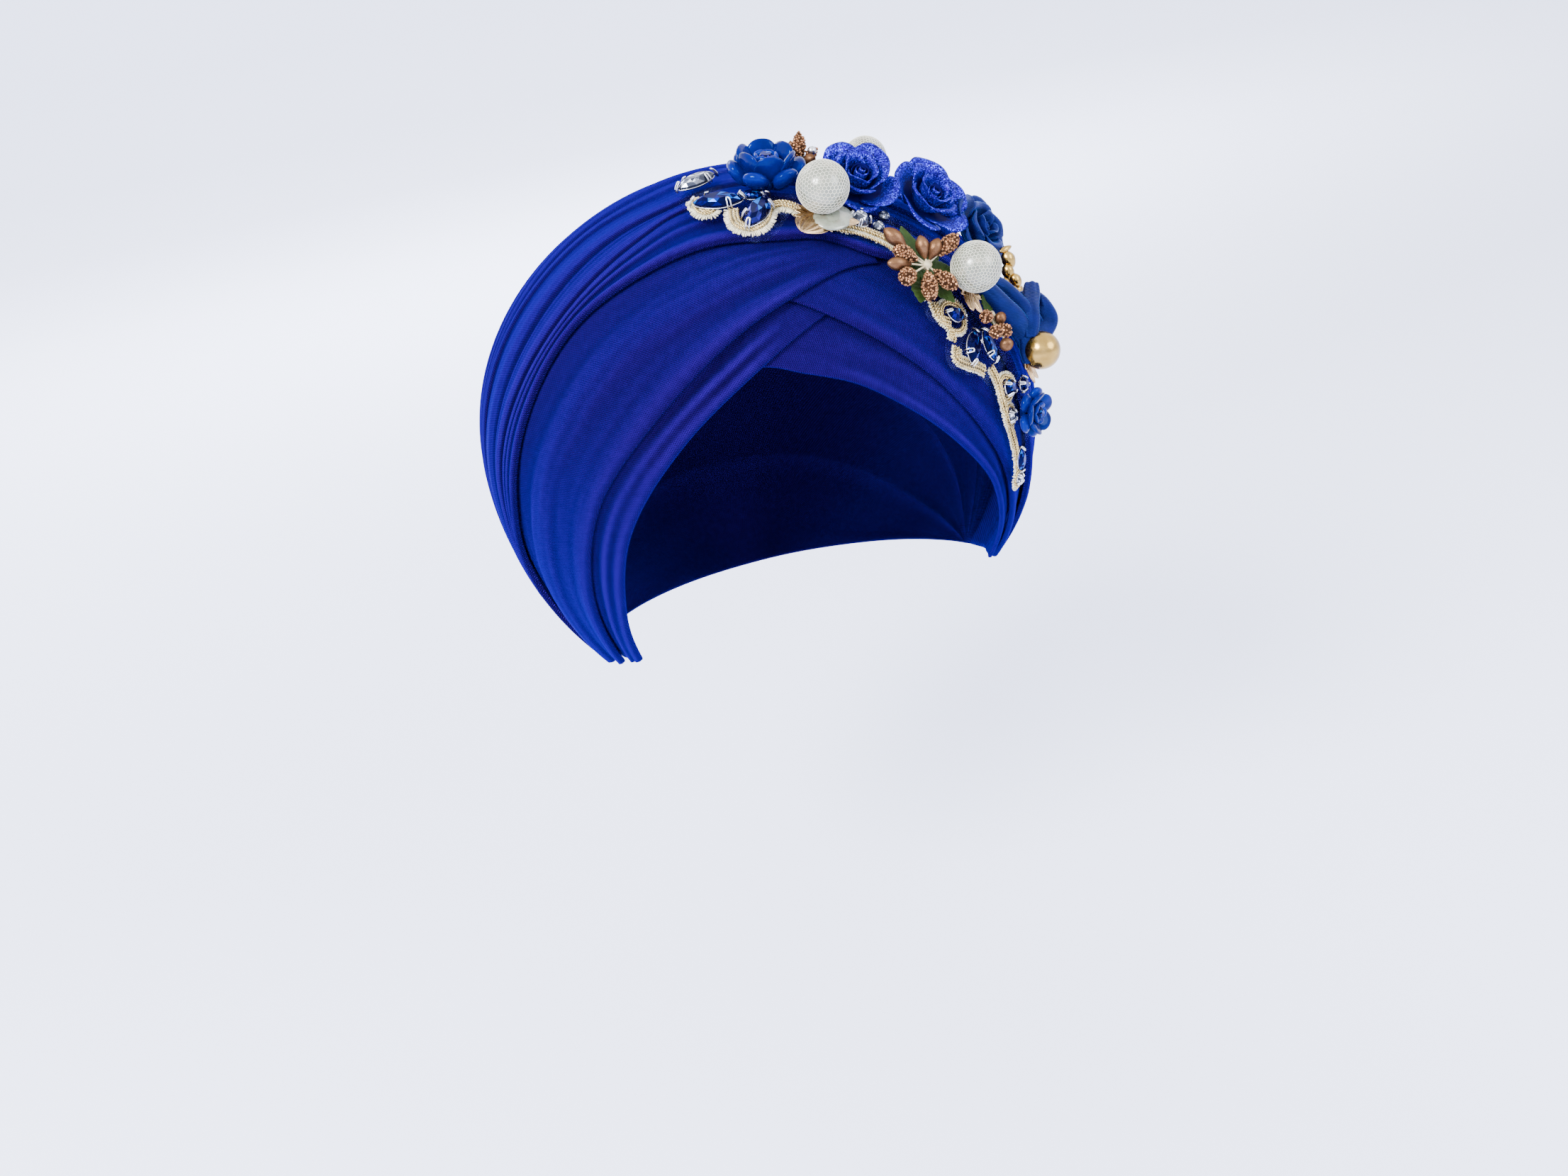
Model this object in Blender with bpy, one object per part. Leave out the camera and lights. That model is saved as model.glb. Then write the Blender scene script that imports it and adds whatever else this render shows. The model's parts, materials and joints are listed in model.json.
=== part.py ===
"""Cross-front turban hat with a trim of flowers, pearls and stones.

The cloth bands lie on one egg-shaped head form, each between two folds drawn on that form.
Folds run from the wearer's right to the left. Sizes are millimetres until a mesh is made.
The wearer's left is +X, the face is towards -Y and the crown is +Z.
The origin is the centre of the head form.
"""
import math

import bpy
import bmesh
import numpy as np
from mathutils import Matrix, Vector

MM = 0.001

# Head form, half sizes of the outer cloth about the origin
HALF_WIDTH = 88.5
FRONT = 88.0
BACK = 105.5
CROWN = 79.5
BELOW = 101.5

# Hem plane, a little lower at the nape than at the ears
HEM_HEIGHT = -60.0
HEM_REACH = -35.0
HEM_SLOPE = -0.13

WALL = 1.2
SEAT_GAP = 0.35

# Folds: name, azimuth of its right end on the hem or None, stations (azimuth, elevation)
# and azimuth of its left end on the hem or None, all in degrees
FOLDS = {
    "right_rim": (-62, [(-55, -26), (-45, -6), (-30, 11), (-11, 24), (5, 31), (15, 33)], None),
    "right_rim_tuck": (-76, [(-69, -24), (-58, 2), (-40, 21), (-16, 37), (0, 42), (15, 42)], None),
    "main_edge": (-70, [(-60, -19), (-50, 0), (-35, 16), (-16, 30), (0, 36), (16, 39), (27, 38)], None),
    "main_tuck": (-93, [(-92, -18), (-83, 4), (-75, 24), (-64, 43), (-42, 54), (-16, 58), (10, 54),
                        (29, 44)], None),
    "crown_edge": (-85, [(-84, -18), (-75, 1), (-68, 17), (-58, 35), (-42, 46), (-20, 52), (1, 50),
                         (15, 47), (25, 39.5), (34, 34), (41, 24), (46, 12), (50, 0), (56, -14),
                         (64, -30)], 71),
    "pleat_low": (-89, [(-86, -18), (-79, 6), (-71, 24), (-63, 38), (-47, 56), (-33, 64), (-5, 66),
                        (25, 56), (44, 40), (55, 20), (61, 2), (68, -20)], 77),
    "pleat_mid": (-93, [(-89, -18), (-81, 14), (-75, 33), (-68, 49), (-59, 59), (-40, 67), (-5, 73),
                        (35, 63), (54, 43), (64, 20), (71, 0), (76, -20)], 84),
    "pleat_high": (-98, [(-94, -18), (-90, 20), (-86, 42), (-79, 60), (-57, 73), (0, 82),
                         (58, 68), (70, 45), (77, 20), (82, 0), (87, -20)], 92),
    "left_rim": (None, [(-24, 24.5), (-11, 24), (-3, 21), (8, 16), (18, 8), (29, -3), (40, -15),
                        (52, -30)], 61),
    "left_rim_tuck": (None, [(-24, 37), (-11, 43), (0, 44), (14, 34), (26, 20), (38, 3), (49, -14),
                             (60, -28)], 72),
    "left_edge": (None, [(-12, 41), (-1, 36), (12, 26), (25, 12), (36, -3), (44, -14), (54, -28)], 66),
    "left_tuck": (None, [(-12, 56), (5, 58), (26, 50), (41, 38), (51, 22), (57, 6), (63, -10),
                         (71, -28)], 79),
}

# Bands: folds that bound it, points along it, lift of its outer face at azimuths (azimuth, lift),
# azimuths where its relief is whole and where it ends under the next band,
# and its relief (share of the way across, lift on the side, lift on the front)
BANDS = {
    "left_band_low": ("left_rim", "left_rim_tuck", 18, [(14, -6.2), (28, -4.6), (40, -3.2)], (10, 2),
                      [(0, 0, 0), (0.12, 0.7, 0.7), (0.4, 0.3, 0.3), (0.6, 0, 0), (1, 0, 0)]),
    "right_band_low": ("right_rim", "right_rim_tuck", 22, [(-38, -2.8), (-20, -4.5)], (-14, -4),
                       [(0, 0, 0), (0.12, 1.1, 1.0), (0.3, 1.5, 1.3), (0.45, 0, 0), (1, 0, 0)]),
    "left_band_high": ("left_edge", "left_tuck", 18, [(30, -2.8), (40, -1.4)], (16, 8),
                       [(0, 0, 0), (0.1, 0.9, 0.9), (0.25, 0.4, 0.4), (0.5, 0, 0), (1, 0, 0)]),
    "right_band_main": ("main_edge", "main_tuck", 26, [(0, -1.1)], (-2, 12),
                        [(0, 0, 0), (0.08, 1.3, 1.1), (0.17, 0.2, 0.3), (0.3, 0.2, 0.6), (0.38, 1.6, 1.0),
                         (0.48, 2.0, 0.9), (0.58, 0.1, 0), (1, 0, 0)]),
}

# Crown wrap: (fold, share of the way to the next fold, lift) from the front fold to the last drawn pleat,
# then (share of the way round to the nape, lift)
CROWN_LIFT = 0.7
CROWN_COLUMNS = 26
CROWN_ROWS = [("crown_edge", 0, 0), ("crown_edge", 0.16, 1.3), ("crown_edge", 0.45, 0.1),
              ("crown_edge", 0.8, 0.8), ("pleat_low", 0, 0.1), ("pleat_low", 0.45, 1.4),
              ("pleat_mid", 0, 0.1), ("pleat_mid", 0.5, 1.5), ("pleat_high", 0, 0.1)]
BACK_ROWS = [(0.1, 1.4), (0.22, 0.1), (0.36, 1.4), (0.51, 0.1), (0.67, 1.2), (0.83, 0.1), (0.92, 0.9), (1, 0)]

# Trim: stations of its front edge with the scallops, and of its back edge, as (azimuth, elevation)
TRIM_FRONT = [(-33, 66), (-25, 60), (-17, 58), (-13, 60), (-10, 51), (-3, 48.5), (3, 50.5), (8, 56),
              (11, 53), (17, 46), (22, 43), (26, 39), (28, 34), (28.5, 28), (27.5, 23), (31, 20),
              (27.5, 16), (27.5, 12.5), (32, 10), (35, 8.5), (38, 4), (39.5, 0), (41.5, -5), (43, -10),
              (45, -17)]
TRIM_BACK = [(-45, 77), (20, 80), (52, 68), (62, 55), (66, 44), (67, 34), (65, 24), (61, 14), (56, 5),
             (52, -3), (50, -11), (49, -18)]
TRIM_COLUMNS = 46
TRIM_ACROSS = [0, 0.1, 0.25, 0.4, 0.6, 0.8, 1]
TRIM_LOW = 0.3
TRIM_HIGH = 2.8
TRIM_WALL = 0.9
TRIM_SLOPE = 7.0

CLOTH = (0.012, 0.02, 0.3)
BRAID = (0.72, 0.6, 0.38)
PEARL = (0.86, 0.84, 0.76)
GOLD = (0.72, 0.46, 0.16)
COPPER = (0.5, 0.27, 0.15)
LEAF = (0.07, 0.13, 0.03)
RESIN = (0.01, 0.1, 0.5)
GLITTER = (0.02, 0.04, 0.55)
RIBBON = (0.01, 0.05, 0.26)
SAPPHIRE = (0.01, 0.03, 0.5)
CRYSTAL = (0.8, 0.82, 0.85)


def direction(azimuth, elevation):
    """Unit vector from the origin, azimuth 0 at the face and 90 at the wearer's left ear."""
    a, e = math.radians(azimuth), math.radians(elevation)
    return np.array([math.sin(a) * math.cos(e), -math.cos(a) * math.cos(e), math.sin(e)])


def unit(vectors):
    return vectors / np.linalg.norm(vectors, axis=-1, keepdims=True)


def form_radius(d):
    depth = np.where(d[..., 1] < 0, FRONT, BACK)
    height = np.where(d[..., 2] < 0, BELOW, CROWN)
    return 1 / np.sqrt((d[..., 0] / HALF_WIDTH) ** 2 + (d[..., 1] / depth) ** 2 + (d[..., 2] / height) ** 2)


def on_form(d, lift=0.0):
    return d * (form_radius(d) + lift)[..., None]


def hem(azimuth):
    """Direction of the point where the form meets the hem plane."""
    low, high = -75.0, -10.0
    for _ in range(40):
        middle = (low + high) / 2
        point = on_form(direction(azimuth, middle))
        above = point[2] - HEM_HEIGHT - HEM_SLOPE * (point[1] - HEM_REACH)
        low, high = (low, middle) if above > 0 else (middle, high)
    return direction(azimuth, low)


def smooth_path(stations, count):
    """Directions spaced evenly along a smooth curve through the stations."""
    ends = [2 * stations[0] - stations[1]] + list(stations) + [2 * stations[-1] - stations[-2]]
    fine = []
    for a, b, c, d in zip(ends, ends[1:], ends[2:], ends[3:]):
        for t in np.arange(0, 1, 0.05):
            fine.append(0.5 * (2 * b + (c - a) * t + (2 * a - 5 * b + 4 * c - d) * t * t
                               + (3 * b - 3 * c + d - a) * t ** 3))
    fine = unit(np.array(fine + [stations[-1]]))
    steps = np.linalg.norm(np.diff(on_form(fine), axis=0), axis=1)
    along = np.concatenate([[0], np.cumsum(steps)])
    even = np.linspace(0, along[-1], count)
    return unit(np.stack([np.interp(even, along, fine[:, i]) for i in range(3)], axis=1))


def fold(name, count):
    right, stations, left = FOLDS[name]
    points = [direction(*station) for station in stations]
    points = ([hem(right)] if right is not None else []) + points + ([hem(left)] if left is not None else [])
    return smooth_path(points, count)


def turned(a, b, share):
    """Directions part of the way from a to b along the great circle between them."""
    angle = np.arccos(np.clip((a * b).sum(axis=-1, keepdims=True), -1, 1))
    angle = np.maximum(angle, 1e-6)
    return (np.sin((1 - share) * angle) * a + np.sin(share * angle) * b) / np.sin(angle)


def azimuths(d):
    return np.degrees(np.arctan2(d[..., 0], -d[..., 1]))


CROWN_FRONT = fold("crown_edge", 200)


def behind_crown_edge(d):
    """Distance of a point of the form behind the crown wrap's front fold, in mm."""
    edge, points = on_form(CROWN_FRONT), on_form(d).reshape(-1, 3)
    nearest = np.linalg.norm(points[:, None] - edge[None], axis=2).argmin(axis=1)
    nearest = np.clip(nearest, 1, len(edge) - 2)
    along = unit(edge[nearest + 1] - edge[nearest - 1])
    across = np.cross(unit(edge[nearest]), along)
    return ((points - edge[nearest]) * across).sum(axis=1).reshape(d.shape[:-1])


def trim_lift(d):
    """Lift of the trim's underside: it steps up onto the crown wrap."""
    share = np.clip(behind_crown_edge(d) / TRIM_SLOPE + 1.2, 0, 1)
    return TRIM_LOW + (TRIM_HIGH - TRIM_LOW) * share * share * (3 - 2 * share)


def material(name, colour, roughness, metallic=0.0, transmission=0.0):
    made = bpy.data.materials.get(name)
    if made:
        return made
    made = bpy.data.materials.new(name)
    made.use_nodes = True
    shader = made.node_tree.nodes["Principled BSDF"]
    shader.inputs["Base Color"].default_value = (*colour, 1)
    shader.inputs["Roughness"].default_value = roughness
    shader.inputs["Metallic"].default_value = metallic
    shader.inputs["Transmission Weight"].default_value = transmission
    return made


def finish(name, mesh, made_of, sharp_degrees=40):
    mesh.name = name
    mesh.materials.clear()
    mesh.materials.append(made_of)
    mesh.shade_smooth()
    mesh.set_sharp_from_angle(angle=math.radians(sharp_degrees))
    part = bpy.data.objects.new(name, mesh)
    bpy.context.scene.collection.objects.link(part)
    return part


def mesh_from(points, faces):
    """Closed mesh from points in mm, its faces turned outwards."""
    work = bmesh.new()
    verts = [work.verts.new(Vector(point) * MM) for point in points]
    for face in faces:
        work.faces.new([verts[i] for i in face])
    bmesh.ops.recalc_face_normals(work, faces=work.faces)
    if work.calc_volume(signed=True) < 0:
        bmesh.ops.reverse_faces(work, faces=work.faces)
    mesh = bpy.data.meshes.new("shape")
    work.to_mesh(mesh)
    work.free()
    return mesh


def sheet(outer, inner):
    """Closed wall between two grids of points, rows by columns."""
    rows, columns = outer.shape[:2]
    points = np.concatenate([outer.reshape(-1, 3), inner.reshape(-1, 3)])
    back = rows * columns
    faces = []
    for j in range(rows - 1):
        for i in range(columns - 1):
            corner = j * columns + i
            quad = [corner, corner + 1, corner + columns + 1, corner + columns]
            faces.append(quad)
            faces.append([back + c for c in reversed(quad)])
    border = [i for i in range(columns)] + [j * columns + columns - 1 for j in range(1, rows)]
    border += [(rows - 1) * columns + i for i in range(columns - 2, -1, -1)]
    border += [j * columns for j in range(rows - 2, 0, -1)]
    for a, b in zip(border, border[1:] + border[:1]):
        faces.append([b, a, back + a, back + b])
    return mesh_from(points, faces)


def cloth(name, d, lift):
    mesh = sheet(on_form(d, lift), on_form(d, lift - WALL))
    return finish(name, mesh, material("blue jersey", CLOTH, 0.5))


def band(name):
    low, high, columns, lifts, (whole, ended), relief = BANDS[name]
    low, high = fold(low, columns), fold(high, columns)
    share = np.array([row[0] for row in relief])[:, None, None]
    d = turned(low[None], high[None], share)
    azimuth = azimuths(d)
    base = np.interp(azimuth, [row[0] for row in lifts], [row[1] for row in lifts])
    front = np.clip((azimuth + 75) / 45, 0, 1)
    side_relief = np.array([row[1] for row in relief])[:, None]
    front_relief = np.array([row[2] for row in relief])[:, None]
    fade = np.clip((azimuth - ended) / (whole - ended), 0, 1)
    return cloth(name, d, base + fade * (side_relief * (1 - front) + front_relief * front))


def crown_wrap():
    names = ["crown_edge", "pleat_low", "pleat_mid", "pleat_high"]
    folds = {name: fold(name, CROWN_COLUMNS) for name in names}
    rows, relief = [], []
    for name, share, lift in CROWN_ROWS:
        after = names[min(names.index(name) + 1, len(names) - 1)]
        rows.append(turned(folds[name], folds[after], share))
        relief.append(lift)
    last = folds["pleat_high"]
    right, left = FOLDS["pleat_high"][0], FOLDS["pleat_high"][2]
    round_back = np.linspace(right - 3, left - 357, CROWN_COLUMNS)
    nape = np.array([hem(azimuth) for azimuth in round_back])
    for share, lift in BACK_ROWS:
        rows.append(turned(last, nape, share))
        relief.append(lift)
    d = np.array(rows)
    edge = np.arange(CROWN_COLUMNS)
    fade = np.clip(np.minimum(edge, CROWN_COLUMNS - 1 - edge) / 3, 0, 1)
    return cloth("crown_wrap", d, CROWN_LIFT + np.array(relief)[:, None] * fade)


def lace_trim():
    front = smooth_path([direction(*s) for s in TRIM_FRONT], TRIM_COLUMNS)
    back = smooth_path([direction(*s) for s in TRIM_BACK], TRIM_COLUMNS)
    d = turned(front[None], back[None], np.array(TRIM_ACROSS)[:, None, None])
    under = trim_lift(d)
    mesh = sheet(on_form(d, under + TRIM_WALL), on_form(d, under))
    return finish("lace_trim", mesh, material("gold braid", BRAID, 0.5, 0.3))


def normal_at(point):
    depth = FRONT if point[1] < 0 else BACK
    height = BELOW if point[2] < 0 else CROWN
    return unit(np.array([point[0] / HALF_WIDTH ** 2, point[1] / depth ** 2, point[2] / height ** 2]))


def seat(azimuth, elevation, reach, spin=0.0, rise=0.0, lean=0.0, lean_to=-145.0):
    """Frame of an ornament that rests on the trim: Z out of the head, X to the wearer's left, turned by spin.

    It leans by some degrees towards the direction lean_to, which is by default down and to the face.
    """
    point = on_form(direction(azimuth, elevation))
    z = normal_at(point)
    x = unit(np.cross([0, 0, 1.0], z))
    y = np.cross(z, x)
    spots = [point]
    for ring in (0.55, 1.0):
        for k in range(12):
            turn = math.radians(30 * k)
            spots.append(point + ring * reach * (math.cos(turn) * x + math.sin(turn) * y))
    under = unit(np.array(spots))
    heights = (on_form(under, trim_lift(under) + TRIM_WALL) - point) @ z
    tipped = reach * math.sin(math.radians(lean))
    centre = point + (float(heights.max()) + SEAT_GAP + rise + tipped) * z
    axes = np.stack([x, y, z], axis=1).tolist()
    frame = Matrix.Translation(Vector(centre) * MM) @ Matrix([[*row, 0] for row in axes] + [[0, 0, 0, 1]])
    tip_axis = Vector((-math.sin(math.radians(lean_to)), math.cos(math.radians(lean_to)), 0))
    leaned = frame @ Matrix.Rotation(math.radians(lean), 4, tip_axis)
    return leaned @ Matrix.Rotation(math.radians(spin), 4, "Z")


def lathe(rows, segments, lobes=0, phase=0.0):
    """Round closed mesh from (radius, height, lobe depth) rows that start and end on the axis."""
    points, rings = [], []
    for radius, height, depth in rows:
        if radius == 0:
            rings.append([len(points)])
            points.append((0, 0, height))
            continue
        rings.append(list(range(len(points), len(points) + segments)))
        for k in range(segments):
            turn = 2 * math.pi * k / segments
            reach = radius * (1 + depth * math.cos(lobes * turn + phase))
            points.append((reach * math.cos(turn), reach * math.sin(turn), height))
    faces = []
    for a, b in zip(rings, rings[1:]):
        for k in range(segments):
            after = (k + 1) % segments
            if len(a) == 1:
                faces.append([a[0], b[k], b[after]])
            elif len(b) == 1:
                faces.append([a[k], a[after], b[0]])
            else:
                faces.append([a[k], a[after], b[after], b[k]])
    return mesh_from(points, faces)


def loft(outline, levels):
    """Closed mesh through scaled copies of a flat outline, levels as (scale, height)."""
    count = len(outline)
    points = [(x * scale, y * scale, height) for scale, height in levels for x, y in outline]
    faces = [list(range(count)), list(range(count * (len(levels) - 1), count * len(levels)))]
    for level in range(len(levels) - 1):
        for k in range(count):
            a, b = level * count + k, level * count + (k + 1) % count
            faces.append([a, b, b + count, a + count])
    return mesh_from(points, faces)


def pointed_oval(length, width, count):
    """Outline with a point at each end, count points in all."""
    points = []
    for k in range(count):
        turn = 2 * math.pi * k / count
        x = math.cos(turn)
        y = math.copysign((1 - abs(x) ** 1.9) ** 0.8, math.sin(turn)) if abs(x) < 0.9999 else 0.0
        points.append((length / 2 * x, width / 2 * y))
    return points


def ellipse(length, width, count):
    turns = [2 * math.pi * k / count for k in range(count)]
    return [(length / 2 * math.cos(t), width / 2 * math.sin(t)) for t in turns]


def drop(stem, length, width):
    """Berry along +X on a thin stem that starts at the origin."""
    rows = [(0, 0, 0), (0.5, 0, 0), (0.6, stem, 0), (0.47 * width, stem + 0.45 * length, 0),
            (0.42 * width, stem + 0.8 * length, 0), (0, stem + length, 0)]
    mesh = lathe(rows, 6)
    mesh.transform(Matrix.Rotation(math.pi / 2, 4, "Y"))
    return mesh


def placed(mesh, turn, pitch, at=(0, 0, 0)):
    """Mesh pitched up, turned about Z and moved."""
    turn_matrix = Matrix.Rotation(math.radians(turn), 4, "Z") @ Matrix.Rotation(-math.radians(pitch), 4, "Y")
    mesh.transform(Matrix.Translation(Vector(at) * MM) @ turn_matrix)
    return mesh


def fuse(meshes):
    """One closed mesh from meshes that overlap."""
    scene = bpy.context.scene.collection
    base = bpy.data.objects.new("fuse base", meshes[0])
    scene.objects.link(base)
    others = bpy.data.collections.new("fuse others")
    scene.children.link(others)
    for mesh in meshes[1:]:
        others.objects.link(bpy.data.objects.new("fuse other", mesh))
    union = base.modifiers.new("union", "BOOLEAN")
    union.operation = "UNION"
    union.operand_type = "COLLECTION"
    union.collection = others
    union.solver = "EXACT"
    graph = bpy.context.evaluated_depsgraph_get()
    joined = bpy.data.meshes.new_from_object(base.evaluated_get(graph))
    work = bmesh.new()
    work.from_mesh(joined)
    bmesh.ops.remove_doubles(work, verts=work.verts, dist=0.000005)
    work.to_mesh(joined)
    work.free()
    for helper in [base, *others.objects]:
        bpy.data.objects.remove(helper)
    bpy.data.collections.remove(others)
    return joined


def place(name, mesh, frame, made_of, sharp_degrees=40):
    part = finish(name, mesh, made_of, sharp_degrees)
    part.matrix_world = frame
    return part


# Pearls and gold ball: azimuth, elevation, radius, rise of its underside above the trim
BALLS = {
    "pearl_front": (17.6, 51.6, 8.4, 1.2, "pearl"),
    "pearl_back": (54.4, 56.4, 6.5, 0.1, "pearl"),
    "pearl_side": (38.6, 26.4, 7.4, 1.5, "pearl"),
    "gold_ball": (48.6, 8.4, 5.8, 1.6, "gold"),
}
# Shell caps: azimuth, elevation, radius, spin
CAPS = {
    "shell_cap_front": (16.4, 49.8, 6.6, 0),
    "shell_cap_side": (40.4, 24.2, 4.4, 30),
    "shell_cap_ball": (50.8, 7.4, 4.4, 60),
}


def ball(name):
    azimuth, elevation, radius, rise, kind = BALLS[name]
    rows = [(0, 0, 0)]
    for k in range(1, 7):
        turn = math.pi * k / 7
        rows.append((radius * math.sin(turn), radius * (1 - math.cos(turn)), 0))
    mesh = lathe(rows + [(0, 2 * radius, 0)], 12)
    made_of = material("pearl", PEARL, 0.3) if kind == "pearl" else material("polished gold", GOLD, 0.2, 1.0)
    return place(name, mesh, seat(azimuth, elevation, 1.0, 0, rise), made_of, 60)


def shell_cap(name):
    azimuth, elevation, radius, spin = CAPS[name]
    rows = [(0, 0, 0), (radius * 0.55, 0, 0), (radius, 0.5, 0.14), (radius * 0.95, 1.0, 0.14),
            (radius * 0.5, 0.7, 0), (0, 0.7, 0)]
    return place(name, lathe(rows, 16, 8), seat(azimuth, elevation, radius, spin),
                 material("polished gold", GOLD, 0.25, 1.0))


# Stones: azimuth, elevation, length, width, spin, rise above the trim, colour
STONES = {
    "stone_crown_clear": (-24.5, 72.1, 12.5, 6.0, 34, 0, "crystal"),
    "stone_crown_right": (-13.5, 61.6, 15.0, 6.4, -11, 0, "sapphire"),
    "stone_crown_left": (-1.0, 55.5, 15.0, 6.8, 49, 0, "sapphire"),
    "stone_crown_back": (0.6, 61.6, 7.0, 4.0, -30, 0, "sapphire"),
    "stone_side_oval": (34.0, 21.4, 6.4, 4.6, -34, 0.4, "sapphire"),
    "stone_side_front": (34.7, 14.6, 10.6, 5.2, 49, 0, "sapphire"),
    "stone_side_back": (39.4, 13.4, 9.4, 4.6, 87, -0.9, "sapphire"),
    "stone_temple_round": (42.4, 4.2, 4.8, 4.8, 0, 0, "sapphire"),
    "stone_temple_drop": (46.2, 3.6, 4.6, 4.0, 20, 0, "sapphire"),
    "stone_temple_clear": (42.2, -1.3, 3.6, 3.6, 0, 0, "crystal"),
    "stone_ear": (45.2, -11.2, 7.2, 4.0, 88, 0, "sapphire"),
    "stone_ear_clear": (45.2, -15.2, 3.2, 3.2, 0, 0, "crystal"),
    "rhinestone": (26.6, 46.0, 6.0, 6.0, 0, 0, "crystal"),
    "crystal_bead_front": (30.4, 43.2, 4.0, 3.4, 0, 0, "crystal"),
    "crystal_bead_back": (36.0, 45.0, 4.0, 3.4, 0, 0, "crystal"),
}


def stone(name):
    """Cut stone with a table, fused to its claw setting."""
    azimuth, elevation, length, width, spin, rise, colour = STONES[name]
    pointed = length > 1.3 * width
    outline = pointed_oval(length, width, 10) if pointed else ellipse(length, width, 8)
    height = 0.5 * width
    body = loft(outline, [(0.86, 0), (1.0, 0.35 * height), (1.0, 0.5 * height), (0.62, height)])
    claws = []
    for side in (-1, 1) if length > 9 else ():
        claw = loft(ellipse(1.0, 1.0, 3), [(1, 0.1), (1, 0.8 * height)])
        claws.append(placed(claw, 0, 0, (side * 0.42 * length, 0, 0)))
    made_of = (material("sapphire glass", SAPPHIRE, 0.05, 0.0, 0.4) if colour == "sapphire"
               else material("clear glass", CRYSTAL, 0.05, 0.0, 0.6))
    frame = seat(azimuth, elevation, 0.5 * length, spin, rise)
    return place(name, fuse([body] + claws) if claws else body, frame, made_of, 15)


# Resin flowers: azimuth, elevation, petals, radius of the ring of petals, petal length, petal width, spin
RESIN_FLOWERS = {
    "resin_flower_top": (12.0, 65.6, 6, 7.8, 11.5, 9.0, 10),
    "resin_flower_low": (45.4, -1.4, 5, 4.4, 7.2, 5.4, 25),
}


def resin_flower(name):
    azimuth, elevation, petals, ring, length, width, spin = RESIN_FLOWERS[name]
    parts = []
    core = [(0, 0, 0), (0.8 * ring, 0, 0), (0.85 * ring, 0.5 * width, 0), (0.4 * ring, 0.8 * width, 0),
            (0, 0.85 * width, 0)]
    parts.append(lathe(core, 8))
    for k in range(petals):
        rows = [(0, -0.5, 0), (0.36, -0.36, 0), (0.5, 0, 0), (0.36, 0.36, 0), (0, 0.5, 0)]
        petal = lathe(rows, 8)
        petal.transform(Matrix.Diagonal((length, width, 0.5 * width, 1)))
        turn = 360 / petals * k
        at = (ring * math.cos(math.radians(turn)), ring * math.sin(math.radians(turn)), 0.52 * width)
        parts.append(placed(petal, turn, 24, at))
    return place(name, fuse(parts), seat(azimuth, elevation, 0.8 * ring, spin, 0, 12),
                 material("blue resin", RESIN, 0.15), 50)


# Cloth roses: azimuth, elevation, radius, height, lobes, spin, lean
ROSES = {
    "glitter_rose_front": (38.0, 53.6, 11.5, 10.5, 5, 0, 24),
    "glitter_rose_back": (53.6, 42.8, 12.0, 10.0, 4, 40, 24),
    "ribbon_rose": (64.2, 31.6, 9.4, 9.4, 5, 20, 24),
}


def rose(name):
    """Three nested cups of petals on a small base."""
    azimuth, elevation, radius, height, lobes, spin, lean = ROSES[name]
    wall = 1.15
    parts = []
    for tier, (reach, top, phase) in enumerate(((1.0, 0.62, 0.0), (0.68, 0.86, 2.1), (0.36, 1.0, 4.0))):
        r, h = reach * radius, top * height
        rows = [(0, 0.35 * tier, 0), (0.45 * r, 0.35 * tier, 0), (0.86 * r, 0.6 * h, 0.08),
                (r, h - 0.5, 0.13), (r - wall, h, 0.13), (0.45 * r, 0.3 * h + 0.8, 0.04),
                (0, 1.6 + 0.5 * tier, 0)]
        parts.append(lathe(rows, 3 * lobes, lobes, phase))
    made_of = (material("glitter cloth", GLITTER, 0.6) if name.startswith("glitter")
               else material("satin ribbon", RIBBON, 0.35))
    return place(name, fuse(parts), seat(azimuth, elevation, 0.4 * radius, spin, 0, lean), made_of, 50)


# Sprays: azimuth, elevation, hub rise, hub width, lean and berries as (turn, pitch, stem, length, width)
SPRAYS = {
    "berry_spray_main": (30.2, 31.2, 4.4, 2.6, 12, [
        (155, 22, 3, 9.5, 5.2), (118, 40, 1.5, 8.5, 4.8), (80, 52, 1.5, 8, 4.6), (184, 10, 3, 10, 4.8),
        (138, 6, 2, 9.5, 4.6), (36, 62, 2, 9, 4.4), (212, 16, 2, 9, 4.8), (-108, 12, 2, 11, 4.6),
        (-68, 14, 2, 10, 4.6)]),
    "berry_spray_side": (41.6, 18.2, 2.3, 2.0, 0, [
        (100, 30, 1, 5.5, 3.8), (-85, 20, 1, 6.5, 3.8), (160, 30, 1, 5, 3.4), (-130, 14, 1, 6, 3.4)]),
    "berry_spray_top": (42.0, 67.0, 1.1, 2.0, 0, [
        (150, 55, 1, 8, 4.0), (60, 65, 1, 9, 4.0), (-120, 35, 1, 6.5, 4.0), (-30, 50, 1, 6, 3.4)]),
    "gold_berries": (60.0, 19.5, 1.2, 2.2, 0, [
        (90, 35, 1, 7, 4.0), (150, 25, 1, 6, 3.8), (30, 40, 1, 6.5, 3.8), (-60, 45, 1, 5.5, 3.6),
        (-150, 30, 1, 6, 3.8)]),
}
# Leaves: azimuth, elevation, hub radius and leaves as (turn, length, width)
LEAVES = {
    "leaf_spray_main": (30.4, 31.6, 2.6, [(-25, 10, 5), (-80, 12, 5.5), (-135, 11, 5), (75, 11, 5)]),
    "leaf_spray_side": (42.2, 18.4, 1.6, [(60, 7, 4), (-60, 7, 4)]),
}


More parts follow.
